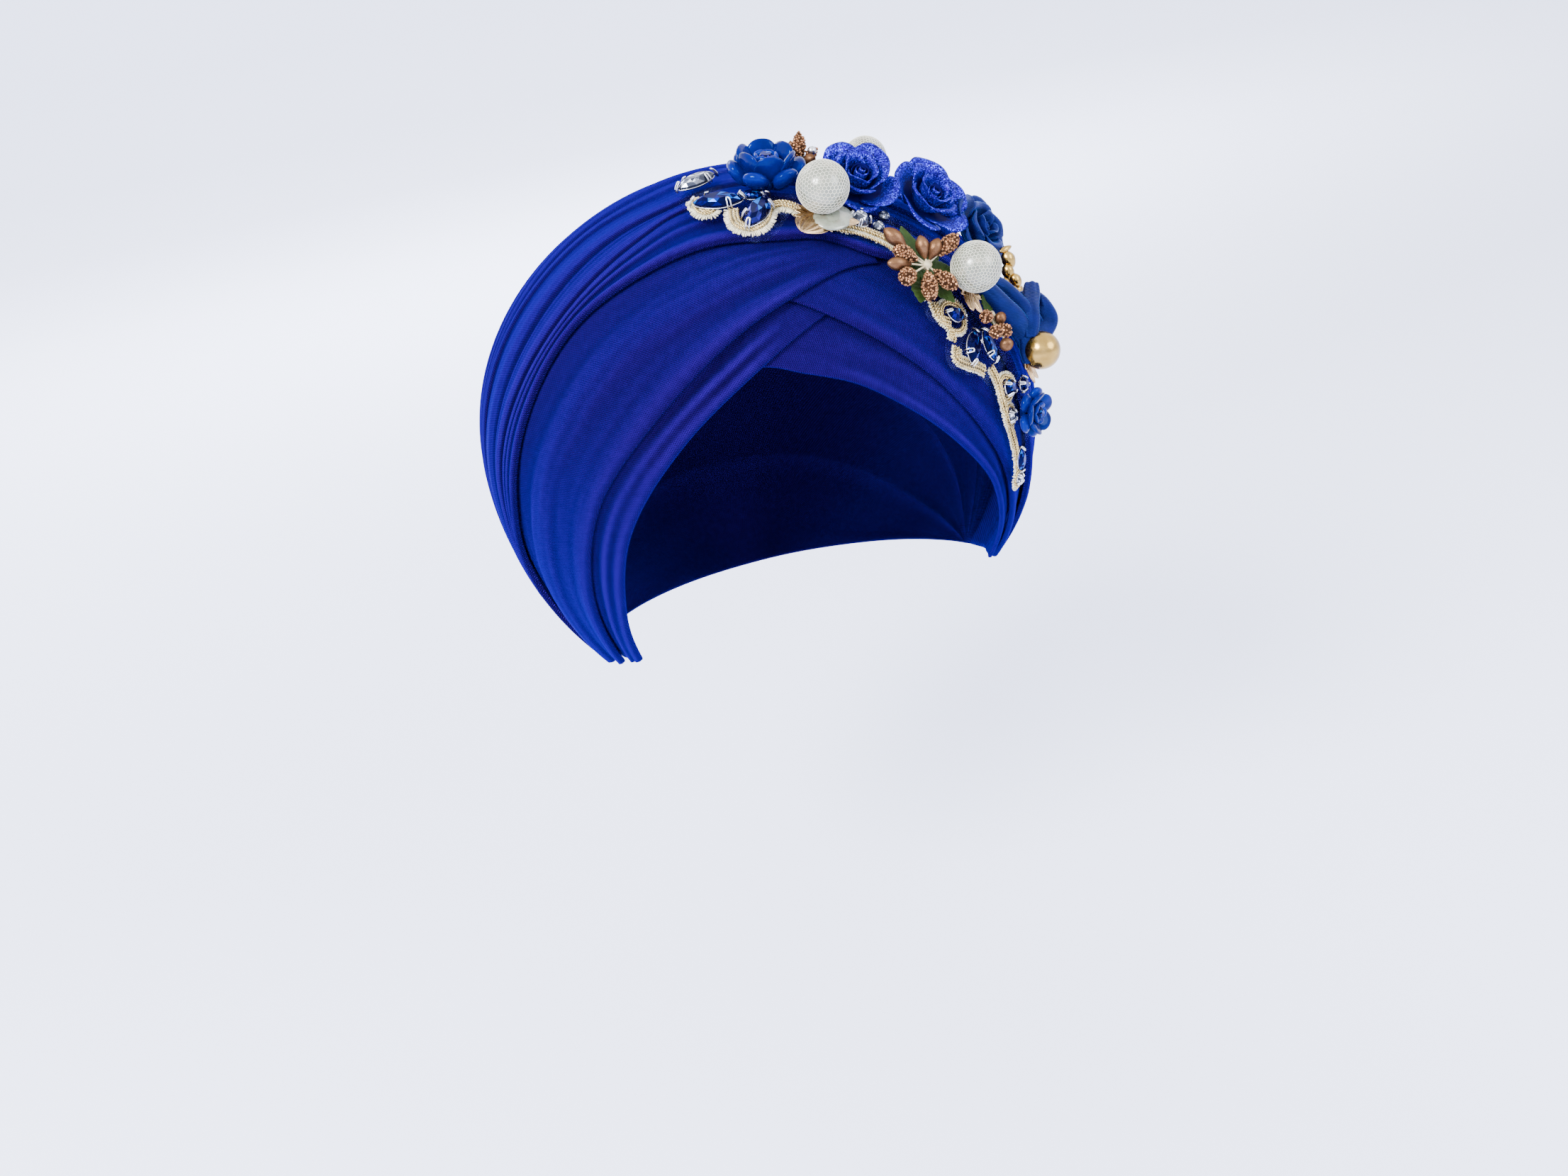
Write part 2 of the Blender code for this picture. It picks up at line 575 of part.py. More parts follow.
def spray(name):
    azimuth, elevation, rise, hub, lean, berries = SPRAYS[name]
    parts = [lathe([(0, -hub / 2, 0), (hub / 2, -hub / 3, 0), (hub / 2, hub / 3, 0), (0, hub / 2, 0)], 6)]
    for turn, pitch, stem, length, width in berries:
        parts.append(placed(drop(stem, length, width), turn, pitch))
    made_of = (material("polished gold", GOLD, 0.3, 1.0) if name.startswith("gold")
               else material("copper berries", COPPER, 0.5, 0.5))
    return place(name, fuse(parts), seat(azimuth, elevation, 1.0, 0, rise, lean, 180), made_of)


def leaf_spray(name):
    azimuth, elevation, hub, leaves = LEAVES[name]
    parts = [lathe([(0, 0, 0), (hub, 0, 0), (hub, 0.8, 0), (0, 0.8, 0)], 8)]
    for turn, length, width in leaves:
        leaf = loft(pointed_oval(length, width, 8), [(0.96, 0), (1, 0.35), (0.96, 0.7)])
        leaf.transform(Matrix.Translation(Vector((length / 2, 0, 0)) * MM))
        parts.append(placed(leaf, turn, 1, (0, 0, 0.04)))
    frame = seat(azimuth, elevation, 8.0 if hub > 2 else 4.0)
    return place(name, fuse(parts), frame, material("leaf", LEAF, 0.7))


# Ribbon knot: azimuth and elevation, and its loops as (turn, pitch, length, width)
KNOT = (49.6, 16.2)
KNOT_LOOPS = [(80, 25, 13, 7), (145, 42, 12, 6), (15, 30, 12, 6), (-125, 48, 11, 5.5)]


def ribbon_knot():
    """Short ribbon loops round a knot."""
    azimuth, elevation = KNOT
    parts = [lathe([(0, 0, 0), (2.6, 0.6, 0), (3.4, 3.0, 0), (2.4, 5.4, 0), (0, 6.2, 0)], 8)]
    for turn, pitch, length, width in KNOT_LOOPS:
        loop = loft(pointed_oval(length, 4.4, 10), [(1, -width / 2), (1.08, 0), (1, width / 2)])
        upright = Matrix.Rotation(math.pi / 2, 4, "X")
        loop.transform(Matrix.Translation(Vector((length / 2 - 0.8, 0, 0)) * MM) @ upright)
        parts.append(placed(loop, turn, pitch, (0, 0, 2.6)))
    return place("ribbon_knot", fuse(parts), seat(azimuth, elevation, 6.0),
                 material("satin ribbon", RIBBON, 0.35))


def clear_scene():
    for old in list(bpy.data.objects):
        bpy.data.objects.remove(old)


clear_scene()
for band_name in BANDS:
    band(band_name)
crown_wrap()
lace_trim()
for cap_name in CAPS:
    shell_cap(cap_name)
for ball_name in BALLS:
    ball(ball_name)
for stone_name in STONES:
    stone(stone_name)
for flower_name in RESIN_FLOWERS:
    resin_flower(flower_name)
for rose_name in ROSES:
    rose(rose_name)
for spray_name in SPRAYS:
    spray(spray_name)
for leaf_name in LEAVES:
    leaf_spray(leaf_name)
ribbon_knot()
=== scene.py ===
"""Cross-front turban hat in royal blue jersey, with a trim of flowers, pearls, stones and berries."""
import json
import math

import bmesh
import bpy
import numpy as np
from mathutils import Matrix, Vector

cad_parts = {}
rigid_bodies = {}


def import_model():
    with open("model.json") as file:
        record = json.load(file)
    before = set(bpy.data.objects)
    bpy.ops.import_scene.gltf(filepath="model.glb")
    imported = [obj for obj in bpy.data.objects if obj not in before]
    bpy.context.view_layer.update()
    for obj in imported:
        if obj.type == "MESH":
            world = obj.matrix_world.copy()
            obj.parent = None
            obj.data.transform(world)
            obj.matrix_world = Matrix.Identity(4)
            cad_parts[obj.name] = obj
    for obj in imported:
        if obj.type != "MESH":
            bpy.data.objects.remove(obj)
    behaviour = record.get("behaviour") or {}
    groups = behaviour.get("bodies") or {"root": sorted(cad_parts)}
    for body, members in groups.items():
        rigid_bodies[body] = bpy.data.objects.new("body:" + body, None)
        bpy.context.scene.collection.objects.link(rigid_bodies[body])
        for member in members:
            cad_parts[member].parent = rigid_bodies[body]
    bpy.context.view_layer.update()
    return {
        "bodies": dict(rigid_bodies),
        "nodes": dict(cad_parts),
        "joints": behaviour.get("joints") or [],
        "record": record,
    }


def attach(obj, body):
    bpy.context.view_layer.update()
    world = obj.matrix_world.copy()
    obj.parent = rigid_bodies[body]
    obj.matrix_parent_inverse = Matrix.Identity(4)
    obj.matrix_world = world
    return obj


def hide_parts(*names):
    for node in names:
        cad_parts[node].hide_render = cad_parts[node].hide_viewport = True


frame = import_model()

# The camera looks down on the front of the hat from the wearer's right, tilted a little.
# The hat fills the middle of the picture.
CAMERA_PLACE = (-0.1313, -0.5090, 0.1332)
CAMERA_TURN, CAMERA_ABOVE, CAMERA_ROLL = (math.radians(angle) for angle in (-14.18, 20.24, -11.22))
SENSOR_WIDTH = 36
LENS_SHARE = 2300 / 2212
camera_data = bpy.data.cameras.new("camera")
camera_data.sensor_width = SENSOR_WIDTH
camera_data.lens = SENSOR_WIDTH * LENS_SHARE
camera = bpy.data.objects.new("camera", camera_data)
bpy.context.scene.collection.objects.link(camera)
back = Vector((math.sin(CAMERA_TURN) * math.cos(CAMERA_ABOVE), -math.cos(CAMERA_TURN) * math.cos(CAMERA_ABOVE),
               math.sin(CAMERA_ABOVE)))
right = Vector((0, 0, 1)).cross(back).normalized()
axes = Matrix((right, back.cross(right), back)).transposed()
camera.matrix_world = Matrix.Translation(CAMERA_PLACE) @ axes.to_4x4() @ Matrix.Rotation(CAMERA_ROLL, 4, "Z")
bpy.context.scene.camera = camera

# left_band_low: a folded band of stretch jersey, the lowest on the wearer's left.
# It is pulled across the forehead, its folded edge is half of the face opening,
# and its upper part is tucked under the next bands.
MM = 0.001
# Half axes of the egg-shaped head form in mm, and the plane of the hem
HALF_WIDTH = 88.5
FRONT, BACK = 88.0, 105.5
CROWN, BELOW = 79.5, 101.5
HEM_HEIGHT, HEM_REACH, HEM_SLOPE = -60.0, -35.0, -0.13
HEM_SEARCH = (-75.0, -10.0)
JERSEY_WALL = 1.2
# Lengths in mm over which the drape lines of a band and of the crown are laid out
BAND_DRAPE, CROWN_DRAPE = 280, 330
# Azimuth at which a band's side relief ends, and the degrees over which its front relief takes over
SIDE_ENDS, FRONT_BLEND = -75, 45


def direction(azimuth, elevation):
    """Unit vector from the middle of the head, azimuth 0 at the face and 90 at the left ear."""
    a, e = math.radians(azimuth), math.radians(elevation)
    return np.array([math.sin(a) * math.cos(e), -math.cos(a) * math.cos(e), math.sin(e)])


def unit(vectors):
    return vectors / np.linalg.norm(vectors, axis=-1, keepdims=True)


def on_head(d, lift=0.0):
    """Points in mm on the egg-shaped head form, raised by lift."""
    depth = np.where(d[..., 1] < 0, FRONT, BACK)
    height = np.where(d[..., 2] < 0, BELOW, CROWN)
    reach = 1 / np.sqrt((d[..., 0] / HALF_WIDTH) ** 2 + (d[..., 1] / depth) ** 2 + (d[..., 2] / height) ** 2)
    return d * (reach + lift)[..., None]


def hem(azimuth):
    """Direction of the point where the head form meets the hem."""
    low, high = HEM_SEARCH
    for _ in range(40):
        middle = (low + high) / 2
        point = on_head(direction(azimuth, middle))
        above_hem = point[2] - HEM_HEIGHT - HEM_SLOPE * (point[1] - HEM_REACH)
        low, high = (low, middle) if above_hem > 0 else (middle, high)
    return direction(azimuth, low)


def run_of(points, axis=0):
    """Length along a grid of points, from 0 at its first row or column."""
    steps = np.cumsum(np.linalg.norm(np.diff(points, axis=axis), axis=-1), axis=axis)
    return np.concatenate([0 * np.take(steps, [0], axis), steps], axis=axis)


def curve_points(stations, step):
    """Points of a smooth curve through the stations, at the given step of each gap between two."""
    ends = [2 * stations[0] - stations[1], *stations, 2 * stations[-1] - stations[-2]]
    fine = [0.5 * (2 * b + (c - a) * t + (2 * a - 5 * b + 4 * c - d) * t * t + (3 * b - 3 * c + d - a) * t ** 3)
            for a, b, c, d in zip(ends, ends[1:], ends[2:], ends[3:]) for t in np.arange(0, 1, step)]
    return np.array(fine + [stations[-1]])


def evenly(fine, run, count):
    """A fine curve as count points, evenly spaced by its run."""
    even = np.linspace(0, run[-1], count)
    return np.stack([np.interp(even, run, fine[:, i]) for i in range(3)], axis=1)


def smooth_path(stations, count):
    """Directions spaced evenly along a smooth curve through the stations."""
    fine = unit(curve_points(stations, 0.04))
    return unit(evenly(fine, run_of(on_head(fine)), count))


def fold_line(right_hem, stations, left_hem, count):
    """Fold from the hem at the wearer's right to the hem at the left, through (azimuth, elevation)."""
    first, last = ([] if azimuth is None else [hem(azimuth)] for azimuth in (right_hem, left_hem))
    return smooth_path(first + [direction(*station) for station in stations] + last, count)


def turned(a, b, share):
    """Directions part of the way from a to b along the great circle between them."""
    angle = np.maximum(np.arccos(np.clip((a * b).sum(axis=-1, keepdims=True), -1, 1)), 1e-6)
    return (np.sin((1 - share) * angle) * a + np.sin(share * angle) * b) / np.sin(angle)


def eased(x, table):
    """Value at x of a table of (x, value) rows, joined by soft steps."""
    xs, ys = np.array(table, float).T
    at = np.clip(np.searchsorted(xs, x, side="right") - 1, 0, len(xs) - 2)
    t = np.clip((x - xs[at]) / (xs[at + 1] - xs[at]), 0, 1)
    return ys[at] + (ys[at + 1] - ys[at]) * t * t * (3 - 2 * t)


def ripples(along, across, seed):
    """Shallow drape lines in mm that run with the band, never quite alike."""
    return (0.10 * np.sin(across * 0.52 + along * 0.011 + 1.7 * np.sin(along * 0.021 + seed) + seed)
            + 0.07 * np.sin(across * 1.1 - along * 0.017 + 2.1 * np.sin(along * 0.034 + 2 * seed) + 3 * seed)
            + 0.05 * np.sin(along * 0.09 + across * 0.2 + 5 * seed))


def border_rows(count, width, rounding=0.6):
    """Shares across a band, closer together at its two edges, where the cloth turns over."""
    turn = np.array([0, 0.04, 0.15, 0.35, 0.65, 1.0]) * rounding / width
    return np.concatenate([turn, np.linspace(0, 1, count)[1:-1] * (1 - 2 * turn[-1]) + turn[-1], 1 - turn[::-1]])


class Wire:
    """An output socket. Arithmetic on it adds Math nodes to its tree."""

    def __init__(self, graph, socket):
        self.graph = graph
        self.socket = socket

    def maths(self, operation, *values):
        return self.graph.add("ShaderNodeMath", {"operation": operation}, dict(enumerate(values)))

    def __add__(self, other):
        return self.maths("ADD", self, other)

    def __sub__(self, other):
        return self.maths("SUBTRACT", self, other)

    def __rsub__(self, other):
        return self.maths("SUBTRACT", other, self)

    def __mul__(self, other):
        return self.maths("MULTIPLY", self, other)

    def __truediv__(self, other):
        return self.maths("DIVIDE", self, other)

    __radd__ = __add__
    __rmul__ = __mul__

    def sine(self):
        return self.maths("SINE", self)


class Graph:
    """A node tree that is filled one node at a time."""

    def __init__(self, tree):
        self.tree = tree

    def add(self, kind, settings, sockets, out=0):
        """Adds a node, sets it up, fills its sockets with values or wires, and gives one output."""
        made = self.tree.nodes.new(kind)
        for name, value in settings.items():
            if name == "stops":
                ramp = made.color_ramp
                while len(ramp.elements) < len(value):
                    ramp.elements.new(0.5)
                for element, (position, colour) in zip(ramp.elements, value):
                    element.position = position
                    element.color = colour
            else:
                setattr(made, name, value)
        for name, value in sockets.items():
            if isinstance(value, Wire):
                self.tree.links.new(value.socket, made.inputs[name])
            else:
                made.inputs[name].default_value = value
        return Wire(self, made.outputs[out])


class Finish(Graph):
    """A material. Its shader's own values are set first, then its patterns are linked in."""

    def __init__(self, name, constants):
        self.material = bpy.data.materials.new(name)
        self.material.use_nodes = True
        super().__init__(self.material.node_tree)
        self.shader = self.tree.nodes["Principled BSDF"]
        for socket, value in constants.items():
            self.shader.inputs[socket].default_value = (*value, 1) if isinstance(value, tuple) else value

    def place(self):
        """Coordinates that stay with the piece."""
        return self.add("ShaderNodeTexCoord", {}, {}, "Object")

    def noise(self, scale, detail, place=None):
        return self.add("ShaderNodeTexNoise", {}, {
            "Vector": place or self.place(), "Scale": scale, "Detail": detail})

    def cells(self, scale, out=0):
        return self.add("ShaderNodeTexVoronoi", {"feature": "F1"}, {"Vector": self.place(), "Scale": scale}, out)

    def part(self, vector, axis):
        return self.add("ShaderNodeSeparateXYZ", {}, {0: vector}, axis)

    def stored(self, name):
        """A value that the mesh keeps for each point or face."""
        return self.add("ShaderNodeAttribute", {"attribute_name": name}, {}, "Fac")

    def ramp(self, wire, *stops):
        return self.add("ShaderNodeValToRGB", {"stops": [(at, (*colour, 1)) for at, colour in stops]}, {0: wire})

    def bump(self, strength, distance, height):
        return self.add("ShaderNodeBump", {}, {"Strength": strength, "Distance": distance, "Height": height})

    def fed(self, wires):
        """The material, with these sockets of its shader linked."""
        for socket, wire in wires.items():
            self.tree.links.new(wire.socket, self.shader.inputs[socket])
        return self.material


def jersey_cloth():
    """Fine knitted jersey with a satin sheen: rows of stitches half a millimetre apart, with painted shade in its folds
    and a painted highlight on their crests.
    """
    cloth = Finish("royal blue jersey", {
        "Metallic": 0.62, "Specular IOR Level": 0.0, "Specular Tint": (0.05, 0.05, 1.0), "Sheen Weight": 0.1,
        "Sheen Roughness": 0.4, "Sheen Tint": (0.03, 0.04, 1.0)})
    uv = cloth.add("ShaderNodeUVMap", {"uv_map": "cloth"}, {})
    u, v = cloth.part(uv, 0), cloth.part(uv, 1)
    millimetres = cloth.add("ShaderNodeVectorMath", {"operation": "SCALE"}, {0: uv, "Scale": 1000.0})
    wander, fuzz = cloth.noise(0.35, 3.0, millimetres), cloth.noise(3.2, 4.0, millimetres)
    course = (u * 9500.0 + v * 3200.0 + wander * 3.0).sine()
    wale = (v * 11800.0 - u * 2600.0 + wander * 3.0).sine()
    knit = course * wale * 0.8 + course * 0.45 + fuzz * 0.8
    # The stored value paints shade into the folds and a highlight onto the crests of the cloth
    tone = knit * 0.42 + wander * 0.3 + cloth.stored("crest") * 0.42 + 0.17
    return cloth.fed({
        "Base Color": cloth.ramp(tone, (0.0, (0.0020, 0.0001, 0.015)), (0.5, (0.0062, 0.0001, 0.045)),
                                 (1.0, (0.0158, 0.0006, 0.128))),
        "Roughness": fuzz * 0.14 + 0.34,
        "Normal": cloth.bump(0.8, 0.0002, knit)})


def add_piece(name, mesh, material, stands_for=()):
    """Links a finished mesh as a piece of the hat."""
    mesh.name = name
    if material:
        mesh.materials.clear()
        mesh.materials.append(material)
    piece = bpy.data.objects.new(name, mesh)
    bpy.context.scene.collection.objects.link(piece)
    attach(piece, "root")
    if stands_for:
        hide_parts(*stands_for)
    return piece


def both_faces(outer, inner):
    """The points of a closed sheet, or values on them: the outer grid, then the inner one without its border."""
    kind = outer.shape[2:]
    return np.concatenate([outer.reshape(-1, *kind), inner[1:-1, 1:-1].reshape(-1, *kind)])


def closed_sheet(outer, inner):
    """Points and faces of a closed sheet between two grids of points that meet at their border."""
    rows, columns = outer.shape[:2]
    outside = np.arange(rows * columns).reshape(rows, columns)
    inside = outside.copy()
    inside[1:-1, 1:-1] = outside.size + np.arange((rows - 2) * (columns - 2)).reshape(rows - 2, columns - 2)
    above, under = (np.stack([grid[:-1, :-1], grid[1:, :-1], grid[1:, 1:], grid[:-1, 1:]], axis=2).reshape(-1, 4)
                    for grid in (outside, inside))
    return both_faces(outer, inner), np.concatenate([above, under[:, [0, 3, 2, 1]]])


def cloth_piece(name, d, lift):
    """Closed sheet of jersey with rounded edges, from directions (rows, columns) and the lift of its outside."""
    flat = on_head(d, lift)
    across, along = run_of(flat), run_of(flat, 1)
    to_edge = np.minimum(np.minimum(across, across[-1:] - across), np.minimum(along, along[:, -1:] - along))
    half = JERSEY_WALL / 2
    thick = half * np.sqrt(np.clip(1 - (1 - np.clip(to_edge / half, 0, 1)) ** 2, 0, 1))
    points, faces = closed_sheet(on_head(d, lift - half + thick) * MM, on_head(d, lift - half - thick) * MM)
    faces = faces[:, [0, 3, 2, 1]]
    middle = points[faces[len(faces) // 4]]
    if np.cross(middle[1] - middle[0], middle[3] - middle[0]) @ middle[0] < 0:
        faces = faces[:, ::-1]
    mesh = bpy.data.meshes.new(name)
    mesh.from_pydata(points.tolist(), [], faces.tolist())
    # Painted shade and highlight: the cloth's colour is made darker down in its folds and lighter on their crests, from
    # how sharply its lift bends
    step = np.maximum(np.gradient(across, axis=0), 0.3)
    bend = -np.gradient(np.gradient(np.broadcast_to(lift, across.shape), axis=0) / step, axis=0) / step
    for _ in range(2):
        bend[1:-1] = (bend[:-2] + 2 * bend[1:-1] + bend[2:]) / 4
    bend = np.clip(bend * 3.2, -1, 1) * np.clip(to_edge / 2, 0, 1)
    crest = mesh.attributes.new("crest", "FLOAT", "POINT")
    crest.data.foreach_set("value", both_faces(bend, bend).astype(np.float32))
    uv = np.stack([along.mean(axis=0)[None].repeat(len(d), 0), across], axis=2) * MM
    layer = mesh.uv_layers.new(name="cloth")
    layer.data.foreach_set("uv", both_faces(uv, uv)[faces.reshape(-1)].astype(np.float32).reshape(-1))
    mesh.shade_smooth()
    return add_piece(name, mesh, blue_jersey)


def jersey_band(name, low, high, count_rows, lifts, fade, profile, seed):
    """Band between two folds: lift by azimuth, and relief (share, at the side, at the front)."""
    width = float(np.linalg.norm(on_head(high) - on_head(low), axis=1).mean())
    rows = border_rows(count_rows, width)[:, None]
    d = turned(low[None], high[None], rows[..., None])
    azimuth = np.degrees(np.arctan2(d[..., 0], -d[..., 1]))
    at_side, at_front = (eased(rows, [(row[0], row[place]) for row in profile]) for place in (1, 2))
    front = np.clip((azimuth - SIDE_ENDS) / FRONT_BLEND, 0, 1)
    relief = at_side * (1 - front) + at_front * front
    drape = ripples(np.linspace(0, BAND_DRAPE, d.shape[1])[None], rows * width, seed) * np.clip(rows * width / 3, 0, 1)
    whole, ended = fade
    kept = np.clip((azimuth - ended) / (whole - ended), 0, 1)
    return cloth_piece(name, d, np.interp(azimuth, *np.array(lifts, float).T) + kept * (relief + drape))


blue_jersey = jersey_cloth()
left_rim = fold_line(None, [(-24, 24.5), (-11, 24), (-3, 21), (8, 16), (18, 8), (29, -3), (40, -15), (52, -30)],
                     61, 190)
left_rim_tuck = fold_line(None, [(-24, 37), (-11, 43), (0, 44), (14, 34), (26, 20), (38, 3), (49, -14), (60, -28)],
                          72, 190)
left_band_low = jersey_band(
    "left_low_band", left_rim, left_rim_tuck, 34, [(14, -6.2), (28, -4.6), (40, -3.2)], (10, 2),
    [(0, 0, 0), (0.08, 0.45, 0.45), (0.12, 0.5, 0.5), (0.17, 0.28, 0.28), (0.3, 0.35, 0.35), (0.6, 0.05, 0.05),
     (1, 0, 0)], 0.4)
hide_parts("left_band_low")

# right_band_low: the narrow band that frames the other half of the face opening.
# It comes from the wearer's right, lies over the left band at the forehead and runs under the next two.
right_rim = fold_line(-62, [(-55, -26), (-45, -6), (-30, 11), (-11, 24), (5, 31), (15, 33)], None, 190)
right_rim_tuck = fold_line(-76, [(-69, -24), (-58, 2), (-40, 21), (-16, 37), (0, 42), (15, 42)], None, 190)
right_band_low = jersey_band(
    "right_low_band", right_rim, right_rim_tuck, 36, [(-38, -2.8), (-20, -4.5)], (-14, -4),
    [(0, 0, 0), (0.07, 0.9, 0.7), (0.13, 1.15, 0.9), (0.2, 0.85, 0.75), (0.3, 1.35, 1.1), (0.45, 0.1, 0.05),
     (1, 0, 0)], 1.3)
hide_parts("right_band_low")

# left_band_high: the second band of the wearer's left, wide and nearly flat.
# It crosses over the narrow right band and dives under the main one at the forehead.
left_edge = fold_line(None, [(-12, 41), (-1, 36), (12, 26), (25, 12), (36, -3), (44, -14), (54, -28)], 66, 190)
left_tuck = fold_line(None, [(-12, 56), (5, 58), (26, 50), (41, 38), (51, 22), (57, 6), (63, -10), (71, -28)], 79, 190)
left_band_high = jersey_band(
    "left_high_band", left_edge, left_tuck, 40, [(30, -2.8), (40, -1.4)], (16, 8),
    [(0, 0, 0), (0.06, 0.75, 0.75), (0.1, 0.85, 0.85), (0.16, 0.45, 0.45), (0.25, 0.4, 0.4), (0.5, 0.05, 0.05),
     (1, 0, 0)], 2.2)
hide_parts("left_band_high")

# right_band_main: the broad band that sweeps up from the wearer's right ear over the forehead.
# Its front edge is a soft roll, and a loose fold swells it under the edge of the crown.
main_edge = fold_line(-70, [(-60, -19), (-50, 0), (-35, 16), (-16, 30), (0, 36), (16, 39), (27, 38)], None, 240)
main_tuck = fold_line(-93, [(-92, -18), (-83, 4), (-75, 24), (-64, 43), (-42, 54), (-16, 58), (10, 54), (29, 44)],
                      None, 240)
right_band_main = jersey_band(
    "main_band", main_edge, main_tuck, 58, [(0, -1.1)], (-2, 12),
    [(0, 0, 0), (0.035, 1.0, 0.8), (0.07, 1.3, 1.1), (0.11, 1.05, 0.9), (0.17, 0.25, 0.3), (0.25, 0.1, 0.35),
     (0.31, 0.3, 0.6), (0.38, 1.5, 1.0), (0.44, 2.0, 1.0), (0.5, 1.8, 0.8), (0.6, 0.05, 0), (1, 0, 0)], 3.1)
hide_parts("right_band_main")

# crown_wrap: the cap of the turban, pleated over the crown and round the back.
# Its front fold lies on the bands and runs from the right ear over the top to the left ear.
CROWN_COLUMNS = 270
# Four folds, from the front edge back: azimuth at the right hem, stations, azimuth at the left hem
CROWN_FOLDS = [
    (-85, [(-84, -18), (-75, 1), (-68, 17), (-58, 35), (-42, 46), (-20, 52), (1, 50), (15, 47),
           (25, 39.5), (34, 34), (41, 24), (46, 12), (50, 0), (56, -14), (64, -30)], 71),
    (-89, [(-86, -18), (-79, 6), (-71, 24), (-63, 38), (-47, 56), (-33, 64), (-5, 66), (25, 56),
           (44, 40), (55, 20), (61, 2), (68, -20)], 77),
    (-93, [(-89, -18), (-81, 14), (-75, 33), (-68, 49), (-59, 59), (-40, 67), (-5, 73), (35, 63),
           (54, 43), (64, 20), (71, 0), (76, -20)], 84),
    (-98, [(-94, -18), (-90, 20), (-86, 42), (-79, 60), (-57, 73), (0, 82), (58, 68), (70, 45),
           (77, 20), (82, 0), (87, -20)], 92)]
crown_folds = [fold_line(*fold, CROWN_COLUMNS) for fold in CROWN_FOLDS]
crown_folds.append(np.array([hem(azimuth) for azimuth in np.linspace(-101, -265, CROWN_COLUMNS)]))
# One relief table for each gap between folds: (share, lift)
CROWN_RELIEF = [
    [(0, 0), (0.05, 0.95), (0.1, 1.35), (0.17, 1.1), (0.28, 0.25), (0.42, 0.15), (0.56, 0.75), (0.66, 0.35),
     (0.78, 0.9), (0.88, 0.8), (1, 0.1)],
    [(0, 0.1), (0.1, 1.0), (0.28, 1.45), (0.5, 1.1), (0.72, 0.5), (0.85, 0.6), (1, 0.1)],
    [(0, 0.1), (0.1, 1.05), (0.3, 1.5), (0.6, 1.2), (0.85, 0.5), (1, 0.1)],
    [(0, 0.1)]]
# Round the back the pleats are wider, each with a clear front edge and a soft slope behind it
BACK_PLEATS = [0.012, 0.075, 0.145, 0.225, 0.315, 0.42, 0.54, 0.68, 0.83]
for place, after in zip(BACK_PLEATS, BACK_PLEATS[1:] + [1.0]):
    CROWN_RELIEF[3] += [(place, 0.15), (place + 0.008, 1.1), (place + 0.02, 1.5),
                        (place + 0.45 * (after - place), 0.9)]
CROWN_RELIEF[3] += [(1, 0)]
CROWN_GAP_ROWS = [30, 22, 20, 52]
crown_rows, crown_lift = [], []
for gap, (table, count) in enumerate(zip(CROWN_RELIEF, CROWN_GAP_ROWS)):
    shares = np.linspace(0, 1, count, endpoint=gap == 3)
    if gap == 0:
        shares = np.concatenate([[0, 0.001, 0.003, 0.007, 0.013, 0.02], shares[1:]])
    if gap == 3:
        edges = [place + step for place in BACK_PLEATS for step in (0, 0.003, 0.007, 0.013, 0.022)]
        spaced = [share for share in shares if min(abs(share - edge) for edge in edges) > 0.004]
        shares = np.concatenate([np.unique(spaced + edges)[:-1], [0.995, 0.9975, 0.999, 0.9997, 1]])
    crown_rows.append(turned(crown_folds[gap][None], crown_folds[gap + 1][None], shares[:, None, None]))
    crown_lift.append(eased(shares, table))
crown_d = np.concatenate(crown_rows)
crown_column = np.linspace(0, 1, CROWN_COLUMNS)[None]
crown_fade = np.clip(np.minimum(crown_column, 1 - crown_column) * 12, 0, 1)
crown_across = run_of(on_head(crown_d)).mean(axis=1)[:, None]
crown_wave = ripples(crown_column * CROWN_DRAPE, crown_across, 4.6) * np.clip(crown_across / 3, 0, 1)
crown_wrap = cloth_piece("crown_wrap_cloth", crown_d,
                         0.7 + (np.concatenate(crown_lift)[:, None] + 1.3 * crown_wave) * crown_fade)
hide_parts("crown_wrap")

# lace_trim: a strip of clear film that carries all the ornaments, cut out along scallops.
# It is edged with buttonhole stitches of cream silk and inside them a twisted gilt cord.
# It lies on the bands and steps up onto the edge of the crown.

# Lift of the trim in mm on the bands and on the crown, and how far behind the crown's edge it has risen
TRIM_LOW, TRIM_HIGH, TRIM_SLOPE = 0.3, 2.8, 7.0
TRIM_WALL = 0.9
FILM_WALL, FILM_LIFT, FILM_WAVE = 0.16, 0.42, 0.7
FILM_COLUMNS = 300
TRIM_FRONT = [(-33, 66), (-25, 60), (-17, 58), (-13, 60), (-10, 51), (-3, 48.5), (3, 50.5), (8, 56), (11, 53),
              (17, 46), (22, 43), (26, 39), (28, 34), (28.5, 28), (27.5, 23), (31, 20), (27.5, 16), (27.5, 12.5),
              (32, 10), (35, 8.5), (38, 4), (39.5, 0), (41.5, -5), (43, -10), (45, -17)]
TRIM_BACK = [(-45, 77), (20, 80), (52, 68), (62, 55), (66, 44), (67, 34), (65, 24), (61, 14), (56, 5), (52, -3),
             (50, -11), (49, -18)]
